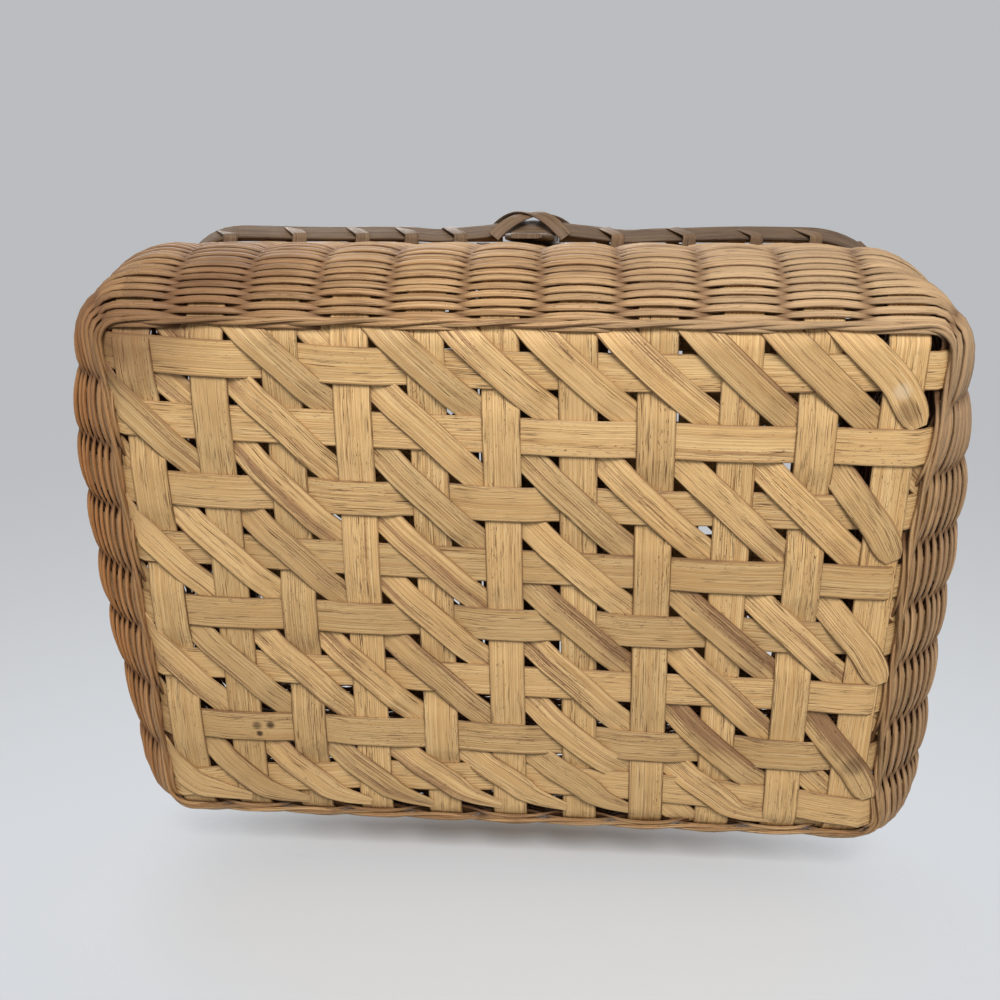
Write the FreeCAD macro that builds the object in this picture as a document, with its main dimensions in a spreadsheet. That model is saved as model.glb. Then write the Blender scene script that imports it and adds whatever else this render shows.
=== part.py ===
# Woven picnic basket: flat cane base and stakes, woven walls, lashed rim, bow handle and two hinged half lids.
# Millimetres, +Z up. The origin is the middle of the base on the surface that the basket stands on.
# X runs along the long side, and -Y is the front.
import FreeCAD, Part
import math
import os

from FreeCAD import Rotation, Vector

# Driving dimensions, each written once. The sheet holds them, and every piece reads them from there.
SIZES = {
    # Base outline, where the first weavers turn the base up into the walls
    "base_length": 404,
    "base_depth": 288,
    "corner_radius": 14,
    # Wall outline: the walls bow out from the base edge to the belly, then lean in to the rim
    "flare_radius": 64,
    "belly_reach": 32,
    "rim_height": 168,
    "rim_reach": 10.5,
    "weave_thickness": 5,
    "edge_height": 5,
    "edge_tuck": 1.8,
    # Flat cane strips of the base, turned up as stakes
    "strip_thickness": 1.3,
    "cross_strip_width": 17.5,
    "long_strip_width": 17.5,
    "diagonal_width": 14,
    "diagonal_margin": 12,
    # Clearances: between touching pieces, between neighbours that move or bulge, and on the hinge rods
    "layer_gap": 0.1,
    "seat_gap": 0.3,
    "running_gap": 0.08,
    # Rim
    "rim_band_height": 15,
    "rim_band_thickness": 2.5,
    "lashing_width": 8,
    "lashing_thickness": 0.7,
    # Bow handle
    "handle_width": 28,
    "handle_thickness": 4.5,
    "handle_foot_drop": 56,
    "handle_bend_radius": 30,
    "handle_leg_rise": 32,
    "handle_shoulder_radius": 95,
    "cross_lashing_width": 9,
    "cross_lashing_length": 50,
    "cross_lashing_thickness": 1.2,
    "cross_lashing_drop": 3,
    # Centre slat and hinge rods across the mouth
    "hinge_spacing": 60,
    "slat_width": 40,
    "bar_inset": 1,
    "lash_clear_of_bar": 10,
    # Lids
    "lid_inset": 2,
    "lid_hinge_gap": 5.5,
    "lid_corner_radius": 22,
    "lid_band_width": 13,
    "lid_band_thickness": 2.2,
    "lid_strip_thickness": 1.1,
    "lid_strip_inset": 1,
    "hinge_loop_width": 14,
    "hinge_loop_thickness": 1.3,
    "hinge_loop_tail": 22,
}

# Where the strips cross the base, as shares of its length and depth measured from the middle
CROSS_SHARES = (-0.441, -0.362, -0.272, -0.196, -0.108, -0.024, 0.072, 0.162, 0.257, 0.350, 0.441)
LONG_SHARES = (-0.421, -0.330, -0.194, -0.072, 0.040, 0.173, 0.295, 0.415)
# Where the hinge loops and the slat's lashings sit along the hinge rods, as shares of half their length
HINGE_LOOP_SHARES = (-0.70, -0.24, 0.24, 0.70)
BAR_LASHING_SHARES = (-0.965, -0.47, 0.0, 0.47, 0.965)

# The weave stands out over each stake and dips halfway to the next: the dip's depth as a share of the weave's
# thickness, and its span as a share of the mean distance between cross strips
DIP_DEPTH_SHARE = 0.6
DIP_SPAN_SHARE = 0.7

HANDLE_SHOULDER_TURN = math.radians(60)
CROSS_LASHING_SLOPE = 45
HALF_TURN = 180
QUARTER_TURN = 90

doc = FreeCAD.newDocument("woven_basket")
sheet = doc.addObject("Spreadsheet::Sheet", "Sizes")


def fill_sheet(values, first_row):
    """Write one named value per row, from this row down."""
    for row, (alias, value) in enumerate(values.items(), start=first_row):
        sheet.set(f"A{row}", alias)
        sheet.set(f"B{row}", str(value))
        sheet.setAlias(f"B{row}", alias)
    doc.recompute()


fill_sheet(SIZES, 1)

pieces = []


def size(alias):
    """One driving dimension, read from the sheet."""
    return float(sheet.get(alias))


def keep(piece):
    """Mark a document object as one of the basket's pieces, named by its label."""
    pieces.append(piece)
    return piece


def shaped(label, shape):
    """A piece whose curved shape is worked out here from the sheet's sizes."""
    piece = doc.addObject("Part::Feature", label)
    piece.Shape = shape
    return keep(piece)


def line(start, end):
    return Part.LineSegment(start, end).toShape()


def arc(centre, radius, start_angle, end_angle, place):
    """An arc in a wall's own plane, where place turns (reach, height) into a point."""
    middle_angle = (start_angle + end_angle) / 2
    points = []
    for angle in (start_angle, middle_angle, end_angle):
        points.append(place(centre[0] + radius * math.cos(angle), centre[1] + radius * math.sin(angle)))
    return Part.Arc(*points).toShape()


def face_from(edges):
    return Part.Face(Part.Wire(Part.sortEdges(edges)[0]))


def polygon_face(points):
    return Part.Face(Part.makePolygon(list(points) + [points[0]]))


# Wall outline. Reach is measured outwards from the base edge, height upwards from the floor, and depth inwards
# from the weave's outer face. The outline is an arc from the base edge that runs on into a straight lean,
# the line from the rim that touches the arc.
half_length = size("base_length") / 2
half_depth = size("base_depth") / 2
flare_radius = size("flare_radius")
flare_offset = flare_radius - size("belly_reach")
flare_centre = (-flare_offset, math.sqrt(flare_radius ** 2 - flare_offset ** 2))
rim_run = size("rim_reach") - flare_centre[0]
rim_rise = size("rim_height") - flare_centre[1]
lean_angle = math.atan2(rim_rise, rim_run) - math.acos(flare_radius / math.hypot(rim_run, rim_rise))
lean_normal = (math.cos(lean_angle), math.sin(lean_angle))


def lean_start(depth):
    """Reach and height where the arc at this depth runs into the straight lean."""
    radius = flare_radius - depth
    return flare_centre[0] + radius * lean_normal[0], flare_centre[1] + radius * lean_normal[1]


def wall_reach(depth, height):
    """Reach of the wall's layer at this depth and height."""
    start_reach, start_height = lean_start(depth)
    if height >= start_height:
        return start_reach - (height - start_height) * math.tan(lean_angle)
    return flare_centre[0] + math.sqrt((flare_radius - depth) ** 2 - (height - flare_centre[1]) ** 2)


def wall_edges(depth, bottom, top, place):
    """The wall's layer at this depth from bottom to top: its arc below the lean, its line above."""
    start = lean_start(depth)
    edges = []
    if bottom < start[1]:
        radius = flare_radius - depth
        bottom_angle = math.asin((bottom - flare_centre[1]) / radius)
        top_angle = math.asin((min(top, start[1]) - flare_centre[1]) / radius)
        edges.append(arc(flare_centre, radius, bottom_angle, top_angle, place))
    if top > start[1]:
        line_bottom = max(bottom, start[1])
        bottom_point = place(wall_reach(depth, line_bottom), line_bottom)
        edges.append(line(bottom_point, place(wall_reach(depth, top), top)))
    return edges


def front_place(reach, height):
    """A wall point in the plane that cuts the front wall at its middle."""
    return Vector(0, -half_depth - reach, height)


def ring_section(outer_depth, inner_depth, outer_bottom, inner_bottom, top):
    """The wall's section between two depths and up to one height, in the plane of front_place."""
    edges = wall_edges(outer_depth, outer_bottom, top, front_place)
    edges += wall_edges(inner_depth, inner_bottom, top, front_place)
    for outer_height, inner_height in ((outer_bottom, inner_bottom), (top, top)):
        outer_point = front_place(wall_reach(outer_depth, outer_height), outer_height)
        inner_point = front_place(wall_reach(inner_depth, inner_height), inner_height)
        edges.append(line(outer_point, inner_point))
    return face_from(edges)


def outline_path(start_x=0.0, whole=True):
    """The base outline with rounded corners, from the front side rightwards to the back, and home if whole."""
    radius = size("corner_radius")
    inner_x = half_length - radius
    inner_y = half_depth - radius
    centres = ((inner_x, -inner_y), (inner_x, inner_y), (-inner_x, inner_y), (-inner_x, -inner_y))
    start = Vector(start_x, -half_depth, 0)
    edges = []
    last = start
    for number, centre in enumerate(centres if whole else centres[:2]):
        first_angle = math.radians(QUARTER_TURN * (number - 1))
        corner = arc(centre, radius, first_angle, first_angle + math.pi / 2, lambda x, y: Vector(x, y, 0))
        edges.append(line(last, corner.valueAt(corner.FirstParameter)))
        edges.append(corner)
        last = corner.valueAt(corner.LastParameter)
    edges.append(line(last, start if whole else Vector(start_x, half_depth, 0)))
    return Part.Wire(edges)


# Base strips. Each strip crosses the base flat and turns up inside the weave of two facing walls.
stake_outer_depth = size("weave_thickness") + size("seat_gap")
stake_inner_depth = stake_outer_depth + size("strip_thickness")
layer_step = size("strip_thickness") + size("layer_gap")


def stake_face(half_base, level, point):
    """Section of a strip whose underside lies at this level, where point places (distance, height)."""
    edges = []
    for side in (-1, 1):

        def place(reach, height, side=side):
            return point(side * (half_base + reach), height)

        top = size("rim_height")
        edges += wall_edges(stake_outer_depth, level, top, place)
        edges += wall_edges(stake_inner_depth, level + size("strip_thickness"), top, place)
        outer_end = place(wall_reach(stake_outer_depth, top), top)
        edges.append(line(outer_end, place(wall_reach(stake_inner_depth, top), top)))
    for depth, height in ((stake_outer_depth, level), (stake_inner_depth, level + size("strip_thickness"))):
        end = half_base + wall_reach(depth, height)
        edges.append(line(point(-end, height), point(end, height)))
    return face_from(edges)


def stakes(label, shares, face, direction, width_alias, span_alias, axis):
    """One extruded strip per share, all from the same section."""
    section = doc.addObject("Part::Feature", f"{label}_section")
    section.Shape = face
    for number, share in enumerate(shares, start=1):
        strip = doc.addObject("Part::Extrusion", f"{label}_{number}")
        strip.Base = section
        strip.DirMode = "Custom"
        strip.Dir = direction
        strip.Symmetric = True
        strip.Solid = True
        strip.setExpression("LengthFwd", f"Sizes.{width_alias}")
        strip.setExpression(f"Placement.Base.{axis}", f"Sizes.{span_alias} * ({share})")
        keep(strip)


long_face = stake_face(half_length, 0, lambda distance, height: Vector(distance, 0, height))
cross_face = stake_face(half_depth, layer_step, lambda distance, height: Vector(0, distance, height))
stakes("cross_stake", CROSS_SHARES, cross_face, Vector(1, 0, 0), "cross_strip_width", "base_length", "x")
stakes("long_stake", LONG_SHARES, long_face, Vector(0, 1, 0), "long_strip_width", "base_depth", "y")

cross_places = [share * size("base_length") for share in CROSS_SHARES]
long_places = [share * size("base_depth") for share in LONG_SHARES]


def slant_strips(columns, rows, low, high, level, thickness):
    """Strips that step one column and one row at a time, cut to the box from low to high."""
    clip = Part.makeBox(high[0] - low[0], high[1] - low[1], thickness, Vector(low[0], low[1], level))
    reach = math.hypot(high[0] - low[0], high[1] - low[1])
    strips = []
    for shift in range(1 - len(rows), len(columns)):
        crossings = []
        for number, x in enumerate(columns):
            if 0 <= number - shift < len(rows):
                crossings.append((x, rows[number - shift]))
        if len(crossings) < 2:
            continue
        first, last = crossings[0], crossings[-1]
        slope = math.degrees(math.atan2(last[1] - first[1], last[0] - first[0]))
        corner = Vector(-reach, -size("diagonal_width") / 2, 0)
        strip = Part.makeBox(2 * reach, size("diagonal_width"), thickness, corner)
        middle = Vector((first[0] + last[0]) / 2, (first[1] + last[1]) / 2, level)
        strip.Placement = FreeCAD.Placement(middle, Rotation(Vector(0, 0, 1), slope))
        strips += strip.common(clip).Solids
    return Part.makeCompound(strips)


diagonal_x = half_length - size("diagonal_margin")
diagonal_y = half_depth - size("diagonal_margin")
shaped(
    "base_diagonal_strips",
    slant_strips(
        cross_places, long_places, (-diagonal_x, -diagonal_y), (diagonal_x, diagonal_y),
        2 * layer_step, size("strip_thickness"),
    ),
)

# Woven walls: the twined edge row on the floor, and the weave above it up to the rim
ring_path = outline_path()
weave_depth = size("weave_thickness")
edge_section = ring_section(0, weave_depth, 0, size("edge_tuck"), size("edge_height"))
shaped("edge_twining", ring_path.makePipe(edge_section))
weave_bottom = size("edge_height") + size("layer_gap")
weave_section = ring_section(0, weave_depth, weave_bottom, weave_bottom, size("rim_height"))
dip_depth = DIP_DEPTH_SHARE * weave_depth
dip_half = DIP_SPAN_SHARE * size("base_length") / len(CROSS_SHARES) / 2
dip_radius = (dip_half ** 2 + dip_depth ** 2) / (2 * dip_depth)


def middles(places):
    """The places halfway between neighbours."""
    return [(first + second) / 2 for first, second in zip(places, places[1:])]


def dip_face():
    """Section of one upright dip, where the front wall's arc runs into its lean."""
    clear = size("seat_gap")
    reach = math.sqrt(dip_radius ** 2 - (dip_radius - dip_depth - clear) ** 2)
    points = []
    for along, depth in ((-reach, -clear), (0, dip_depth), (reach, -clear)):
        point = front_place(*lean_start(depth))
        point.x = along
        points.append(point)
    return face_from([Part.Arc(*points).toShape(), line(points[2], points[0])])


def dip_cutters():
    """The two parts of one dip, in the middle of the front wall: along the arc and along the lean."""
    face = dip_face()
    below = face.revolve(front_place(*flare_centre), Vector(1, 0, 0), QUARTER_TURN)
    up_lean = Vector(0, math.sin(lean_angle), math.cos(lean_angle))
    return [below, face.extrude(up_lean * 2 * size("rim_height"))]


def weave_dips():
    """A dip between each two stakes round the walls, and one at each corner."""
    up = Vector(0, 0, 1)
    cutters = dip_cutters()
    placed = []

    def put(turn, move, first_move=Vector(0, 0, 0)):
        for cutter in cutters:
            copy = cutter.translated(first_move)
            copy.rotate(Vector(0, 0, 0), up, turn)
            placed.append(copy.translated(move))

    for x in middles(cross_places):
        for turn in (0, HALF_TURN):
            put(turn, Vector(x, 0, 0))
    for y in middles(long_places):
        for side in (-1, 1):
            put(side * QUARTER_TURN, Vector(side * (half_length - half_depth), y, 0))
    radius = size("corner_radius")
    for number, (side_x, side_y) in enumerate(((1, -1), (1, 1), (-1, 1), (-1, -1))):
        corner = Vector(side_x * (half_length - radius), side_y * (half_depth - radius), 0)
        put(QUARTER_TURN * (number + 1 / 2), corner, Vector(0, half_depth - radius, 0))
    return Part.makeCompound(placed)


shaped("wall_weave", ring_path.makePipe(weave_section).cut(weave_dips()))

# Rim: two flat bands, the outer one held off the wall by a round filler and by the handle's feet
band_bottom = size("rim_height") - size("rim_band_height")
stand_off = size("handle_thickness") + 2 * size("seat_gap")
outer_band_depth = -(stand_off + size("rim_band_thickness"))
inner_band_start = stake_inner_depth + size("seat_gap")
inner_band_depth = inner_band_start + size("rim_band_thickness")
outer_section = ring_section(outer_band_depth, -stand_off, band_bottom, band_bottom, size("rim_height"))
inner_section = ring_section(inner_band_start, inner_band_depth, band_bottom, band_bottom, size("rim_height"))
shaped("rim_outer_band", ring_path.makePipe(outer_section))
shaped("rim_inner_band", ring_path.makePipe(inner_section))

filler_radius = stand_off / 2 - size("seat_gap")
filler_height = size("rim_height") - size("rim_band_height") / 2
filler_start = size("handle_width") / 2 + filler_radius
filler_centre = front_place(wall_reach(-stand_off / 2, filler_height), filler_height)
filler_centre.x = filler_start
filler_section = Part.Face(Part.Wire(Part.makeCircle(filler_radius, filler_centre, Vector(1, 0, 0))))
filler = outline_path(filler_start, whole=False).makePipe(filler_section)
shaped("rim_filler_right", filler)
shaped("rim_filler_left", filler.mirror(Vector(0, 0, 0), Vector(1, 0, 0)))


def lashing_section():
    """Section of one cane wrap that straddles the rim, from the outer band over the top to the inner band."""
    gap = size("layer_gap")
    wrap = size("lashing_thickness")
    depths = (outer_band_depth - gap, inner_band_depth + gap)
    over = (outer_band_depth - gap - wrap, inner_band_depth + gap + wrap)
    top = size("rim_height") + gap
    corners = []
    for depth, height in (
        (over[0], band_bottom), (over[0], top + wrap), (over[1], top + wrap), (over[1], band_bottom),
        (depths[1], band_bottom), (depths[1], top), (depths[0], top), (depths[0], band_bottom),
    ):
        corners.append(front_place(wall_reach(depth, height), height))
    return polygon_face(corners)


def rim_wraps():
    """One wrap per stake on all four walls, apart from where the centre slat and its rods lie on the rim."""
    wrap = lashing_section().extrude(Vector(size("lashing_width"), 0, 0))
    wrap.translate(Vector(-size("lashing_width") / 2, 0, 0))
    end_shift = half_length - half_depth
    clear = size("hinge_spacing") / 2 + size("lash_clear_of_bar")
    up = Vector(0, 0, 1)
    wraps = []
    for place in cross_places:
        if abs(place) > clear:
            for turn in (0, HALF_TURN):
                copy = wrap.copy()
                copy.rotate(Vector(0, 0, 0), up, turn)
                wraps.append(copy.translated(Vector(place, 0, 0)))
    for place in long_places:
        for side in (-1, 1):
            copy = wrap.copy()
            copy.rotate(Vector(0, 0, 0), up, side * QUARTER_TURN)
            wraps.append(copy.translated(Vector(side * end_shift, place, 0)))
    return Part.makeCompound(wraps)


shaped("rim_lashing", rim_wraps())

# Bow handle: its feet stand between the weave and the outer band, then the slat rises and arches over the mouth
foot_depth = -(size("seat_gap") + size("handle_thickness") / 2)
foot_height = size("rim_height") - size("handle_foot_drop")
bend_start = (half_depth + wall_reach(foot_depth, size("rim_height")), size("rim_height"))
bend_centre = (
    bend_start[0] + size("handle_bend_radius") * lean_normal[0],
    bend_start[1] + size("handle_bend_radius") * lean_normal[1],
)
leg_distance = bend_centre[0] - size("handle_bend_radius")
spring_height = size("rim_height") + size("handle_leg_rise")
shoulder_centre = (leg_distance - size("handle_shoulder_radius"), spring_height)
crown_extra = shoulder_centre[0] / math.cos(HANDLE_SHOULDER_TURN)
crown_radius = size("handle_shoulder_radius") + crown_extra
crown_centre = (0, spring_height - crown_extra * math.sin(HANDLE_SHOULDER_TURN))


def handle_edges(offset):
    """One face of the handle slat from foot to foot, offset outwards from its middle line."""
    edges = []
    for side in (-1, 1):

        def place(distance, height, side=side):
            return Vector(0, side * distance, height)

        foot = (
            half_depth + wall_reach(foot_depth, foot_height) + offset * lean_normal[0],
            foot_height + offset * lean_normal[1],
        )
        bend = (bend_start[0] + offset * lean_normal[0], bend_start[1] + offset * lean_normal[1])
        edges.append(line(place(*foot), place(*bend)))
        edges.append(
            arc(bend_centre, size("handle_bend_radius") - offset, math.pi + lean_angle, math.pi, place)
        )
        leg = leg_distance + offset
        edges.append(line(place(leg, bend_centre[1]), place(leg, spring_height)))
        edges.append(
            arc(shoulder_centre, size("handle_shoulder_radius") + offset, 0, HANDLE_SHOULDER_TURN, place)
        )
    edges.append(
        arc(
            crown_centre, crown_radius + offset, HANDLE_SHOULDER_TURN, math.pi - HANDLE_SHOULDER_TURN,
            lambda distance, height: Vector(0, distance, height),
        )
    )
    return edges


def handle_face():
    """The slat's side view, closed across both feet."""
    half = size("handle_thickness") / 2
    outer = Part.Wire(Part.sortEdges(handle_edges(half))[0])
    inner = Part.Wire(Part.sortEdges(handle_edges(-half))[0])
    edges = list(outer.Edges) + list(inner.Edges)
    for outer_end in (outer.OrderedVertexes[0].Point, outer.OrderedVertexes[-1].Point):
        ends = (inner.OrderedVertexes[0].Point, inner.OrderedVertexes[-1].Point)
        edges.append(line(outer_end, min(ends, key=outer_end.distanceToPoint)))
    return face_from(edges)


handle_section = doc.addObject("Part::Feature", "handle_section")
handle_section.Shape = handle_face()
handle = doc.addObject("Part::Extrusion", "handle_hoop")
handle.Base = handle_section
handle.DirMode = "Custom"
handle.Dir = Vector(1, 0, 0)
handle.Symmetric = True
handle.Solid = True
handle.setExpression("LengthFwd", "Sizes.handle_width")
keep(handle)


def cross_lashing(label, side):
    """Two crossed strips on the outer band where the handle's foot goes in, one lying over the other."""
    band_reach = wall_reach(outer_band_depth, band_bottom)
    thickness = size("cross_lashing_thickness")
    strips = []
    for layer, slope in enumerate((CROSS_LASHING_SLOPE, -CROSS_LASHING_SLOPE)):
        strip = Part.makeBox(
            size("cross_lashing_length"), thickness, size("cross_lashing_width"),
            Vector(-size("cross_lashing_length") / 2, -thickness / 2, -size("cross_lashing_width") / 2),
        )
        strip.rotate(Vector(0, 0, 0), Vector(0, 1, 0), slope)
        distance = half_depth + band_reach + (layer + 1) * size("layer_gap") + (layer + 1 / 2) * thickness
        strip.translate(Vector(0, side * distance, size("rim_height") - size("cross_lashing_drop")))
        strips.append(strip)
    shaped(label, Part.makeCompound(strips))


cross_lashing("handle_cross_lashing_front", -1)
cross_lashing("handle_cross_lashing_back", 1)

# Heights of the lids and of the slat and rods that they hinge on
lid_bottom = size("rim_height") + size("layer_gap") + size("lashing_thickness") + size("seat_gap")
lid_layer = size("lid_strip_thickness") + size("layer_gap")
lid_thickness = 2 * size("lid_band_thickness") + 3 * lid_layer + size("layer_gap")
hinge_height = lid_bottom + lid_thickness / 2
hinge_x = size("hinge_spacing") / 2
loop_inner_radius = lid_thickness / 2 + size("layer_gap")
rod_radius = loop_inner_radius - size("running_gap")
bar_half_length = half_depth + size("rim_reach") - size("bar_inset")
DERIVED = {
    "lid_bottom": lid_bottom,
    "rod_radius": rod_radius,
    "bar_length": 2 * bar_half_length,
    "hinge_height": hinge_height,
}
fill_sheet(DERIVED, len(SIZES) + 1)

slat = keep(doc.addObject("Part::Box", "centre_slat"))
slat.setExpression("Length", "Sizes.slat_width")
slat.setExpression("Width", "Sizes.bar_length")
slat.setExpression("Height", "2 * Sizes.rod_radius")
slat.setExpression("Placement.Base.x", "-Sizes.slat_width / 2")
slat.setExpression("Placement.Base.y", "-Sizes.bar_length / 2")
slat.setExpression("Placement.Base.z", "Sizes.hinge_height - Sizes.rod_radius")

for rod_side, rod_sign in (("left", "-"), ("right", "")):
    rod = keep(doc.addObject("Part::Cylinder", f"hinge_rod_{rod_side}"))
    rod.Placement.Rotation = Rotation(Vector(1, 0, 0), -QUARTER_TURN)
    rod.setExpression("Radius", "Sizes.rod_radius")
    rod.setExpression("Height", "Sizes.bar_length")
    rod.setExpression("Placement.Base.x", f"{rod_sign}Sizes.hinge_spacing / 2")
    rod.setExpression("Placement.Base.y", "-Sizes.bar_length / 2")
    rod.setExpression("Placement.Base.z", "Sizes.hinge_height")


def oval_face(radius, y):
    """A rounded oval round both hinge rods, in the plane at this y."""
    top = hinge_height + radius
    bottom = hinge_height - radius
    edges = [
        line(Vector(-hinge_x, y, top), Vector(hinge_x, y, top)),
        line(Vector(-hinge_x, y, bottom), Vector(hinge_x, y, bottom)),
    ]
    for side in (-1, 1):
        end = Vector(side * (hinge_x + radius), y, hinge_height)
        edges.append(Part.Arc(Vector(side * hinge_x, y, top), end, Vector(side * hinge_x, y, bottom)).toShape())
    return face_from(edges)


def bar_wraps():
    """Cane wraps that tie the two rods to the slat, and at the ends to the rim."""
    inner_radius = rod_radius + size("layer_gap")
    outer_radius = inner_radius + size("lashing_thickness")
    wraps = []
    for share in BAR_LASHING_SHARES:
        start = share * bar_half_length - size("lashing_width") / 2
        ring = oval_face(outer_radius, start).cut(oval_face(inner_radius, start))
        wraps.append(ring.extrude(Vector(0, size("lashing_width"), 0)).Solids[0])
    return Part.makeCompound(wraps)


shaped("bar_lashing", bar_wraps())

# Lids. Each is a lattice of strips between a bottom and a top band, and turns on its rod by four cane loops.
lid_inner_x = hinge_x + size("lid_hinge_gap")
lid_outer_x = half_length + size("rim_reach") - size("lid_inset")
lid_half_depth = half_depth + size("rim_reach") - size("lid_inset")


def span(side, near, far):
    """Low and high x of a stretch that runs from near to far on one side of the basket."""
    return min(side * near, side * far), max(side * near, side * far)


def box(low, high):
    return Part.makeBox(high[0] - low[0], high[1] - low[1], high[2] - low[2], Vector(*low))


def lid_band(side, bottom):
    """A flat frame with rounded corners at its free end."""
    band = size("lid_band_width")
    top = bottom + size("lid_band_thickness")
    low_x, high_x = span(side, lid_inner_x, lid_outer_x)
    plate = box((low_x, -lid_half_depth, bottom), (high_x, lid_half_depth, top))
    near = size("layer_gap")
    corners = []
    for edge in plate.Edges:
        start, end = edge.Vertexes
        upright = abs(start.X - end.X) < near and abs(start.Y - end.Y) < near
        if upright and abs(start.X - side * lid_outer_x) < near:
            corners.append(edge)
    plate = plate.makeFillet(size("lid_corner_radius"), corners)
    window_y = lid_half_depth - band
    return plate.cut(box((low_x + band, -window_y, bottom), (high_x - band, window_y, top)))


def lid_wrap(length_direction, low, high):
    """One wrap round both bands: a rectangular tube about the box low to high, open along its length."""
    gap = size("layer_gap")
    outer_gap = gap + size("lashing_thickness")
    grow = [(0 if axis == length_direction else 1) for axis in range(3)]
    inner = box([v - gap * g for v, g in zip(low, grow)], [v + gap * g for v, g in zip(high, grow)])
    outer = box([v - outer_gap * g for v, g in zip(low, grow)], [v + outer_gap * g for v, g in zip(high, grow)])
    return outer.cut(inner)


def lid_lashing(side, columns):
    """Wraps on the three free edges of a lid, between its strips so that none is cut."""
    band = size("lid_band_width")
    half = size("lashing_width") / 2
    top = lid_bottom + lid_thickness
    wraps = []
    for x in middles(columns):
        for edge in (-1, 1):
            low_y, high_y = span(edge, lid_half_depth - band, lid_half_depth)
            wraps.append(lid_wrap(0, (x - half, low_y, lid_bottom), (x + half, high_y, top)))
    low_x, high_x = span(side, lid_outer_x - band, lid_outer_x)
    for y in middles(long_places):
        wraps.append(lid_wrap(1, (low_x, y - half, lid_bottom), (high_x, y + half, top)))
    return Part.makeCompound(wraps)


def hinge_loops(side):
    """Cane straps folded round the hinge rod, with their tails above and below the lid's bands."""
    inner = loop_inner_radius
    outer = inner + size("hinge_loop_thickness")
    tail = size("hinge_loop_tail")
    loops = []
    for share in HINGE_LOOP_SHARES:
        y = share * bar_half_length - size("hinge_loop_width") / 2

        def point(along, height, y=y):
            return Vector(side * (hinge_x + along), y, hinge_height + height)

        edges = []
        for radius in (inner, outer):
            edges.append(Part.Arc(point(0, radius), point(-radius, 0), point(0, -radius)).toShape())
            edges.append(line(point(0, radius), point(tail, radius)))
            edges.append(line(point(0, -radius), point(tail, -radius)))
        edges.append(line(point(tail, inner), point(tail, outer)))
        edges.append(line(point(tail, -inner), point(tail, -outer)))
        loops.append(face_from(edges).extrude(Vector(0, size("hinge_loop_width"), 0)))
    return Part.makeCompound(loops)


def lid_strips(label, boxes):
    """A node of parallel strips: one bound box per strip, given as (position, size) expressions by axis."""
    strips = []
    for number, (position, extent) in enumerate(boxes, start=1):
        strip = doc.addObject("Part::Box", f"{label}_{number}")
        for axis, measure, place, length in zip("xyz", ("Length", "Width", "Height"), position, extent):
            strip.setExpression(measure, length)
            strip.setExpression(f"Placement.Base.{axis}", place)
        strips.append(strip)
    group = keep(doc.addObject("Part::Compound", label))
    group.Links = strips


def build_lid(name, side):
    first_column = (lid_inner_x + size("lid_band_width")) / size("base_length")
    columns = [share for share in CROSS_SHARES if side * share > first_column]
    column_places = [share * size("base_length") for share in columns]
    shaped(f"{name}_bottom_band", lid_band(side, lid_bottom))
    shaped(f"{name}_top_band", lid_band(side, lid_bottom + lid_thickness - size("lid_band_thickness")))
    strip = "Sizes.lid_strip_thickness"
    step = "(Sizes.lid_strip_thickness + Sizes.layer_gap)"
    level = "Sizes.lid_bottom + Sizes.lid_band_thickness + Sizes.layer_gap"
    near = "(Sizes.hinge_spacing / 2 + Sizes.lid_hinge_gap + Sizes.lid_strip_inset)"
    far = "(Sizes.base_length / 2 + Sizes.rim_reach - Sizes.lid_inset - Sizes.lid_strip_inset)"
    half_width = "(Sizes.base_depth / 2 + Sizes.rim_reach - Sizes.lid_inset - Sizes.lid_strip_inset)"
    start_x = near if side > 0 else f"-{far}"
    long_boxes = []
    for share in LONG_SHARES:
        position = (start_x, f"Sizes.base_depth * ({share}) - Sizes.long_strip_width / 2", level)
        long_boxes.append((position, (f"{far} - {near}", "Sizes.long_strip_width", strip)))
    lid_strips(f"{name}_long_strips", long_boxes)
    cross_boxes = []
    for share in columns:
        low_side = f"Sizes.base_length * ({share}) - Sizes.cross_strip_width / 2"
        position = (low_side, f"-{half_width}", f"{level} + {step}")
        cross_boxes.append((position, ("Sizes.cross_strip_width", f"2 * {half_width}", strip)))
    lid_strips(f"{name}_cross_strips", cross_boxes)
    margin = size("lid_band_width") + size("lashing_thickness") + size("layer_gap") + size("lid_strip_inset")
    low_x, high_x = span(side, lid_inner_x + margin, lid_outer_x - margin)
    window_y = lid_half_depth - margin
    slant_level = lid_bottom + size("lid_band_thickness") + size("layer_gap") + 2 * lid_layer
    low, high = (low_x, -window_y), (high_x, window_y)
    slants = slant_strips(column_places, long_places, low, high, slant_level, size("lid_strip_thickness"))
    shaped(f"{name}_diagonal_strips", slants)
    shaped(f"{name}_lashing", lid_lashing(side, column_places))
    shaped(f"{name}_hinge_loops", hinge_loops(side))


build_lid("left_lid", -1)
build_lid("right_lid", 1)

# Check every object, then write one file per piece
doc.recompute()
for item in doc.Objects:
    if "Invalid" in item.State or "Error" in item.State:
        raise RuntimeError(f"{item.Label} failed: {item.State}")
for piece in pieces:
    if piece.Shape.isNull() or not piece.Shape.isValid():
        raise RuntimeError(f"{piece.Label} has no valid shape")
os.makedirs("parts", exist_ok=True)
for piece in pieces:
    piece.Shape.exportStep(f"parts/{piece.Label}.step")
    print(piece.Label, len(piece.Shape.Solids), round(piece.Shape.Volume))
print("hinge height", hinge_height, "hinge x", hinge_x)
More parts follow.
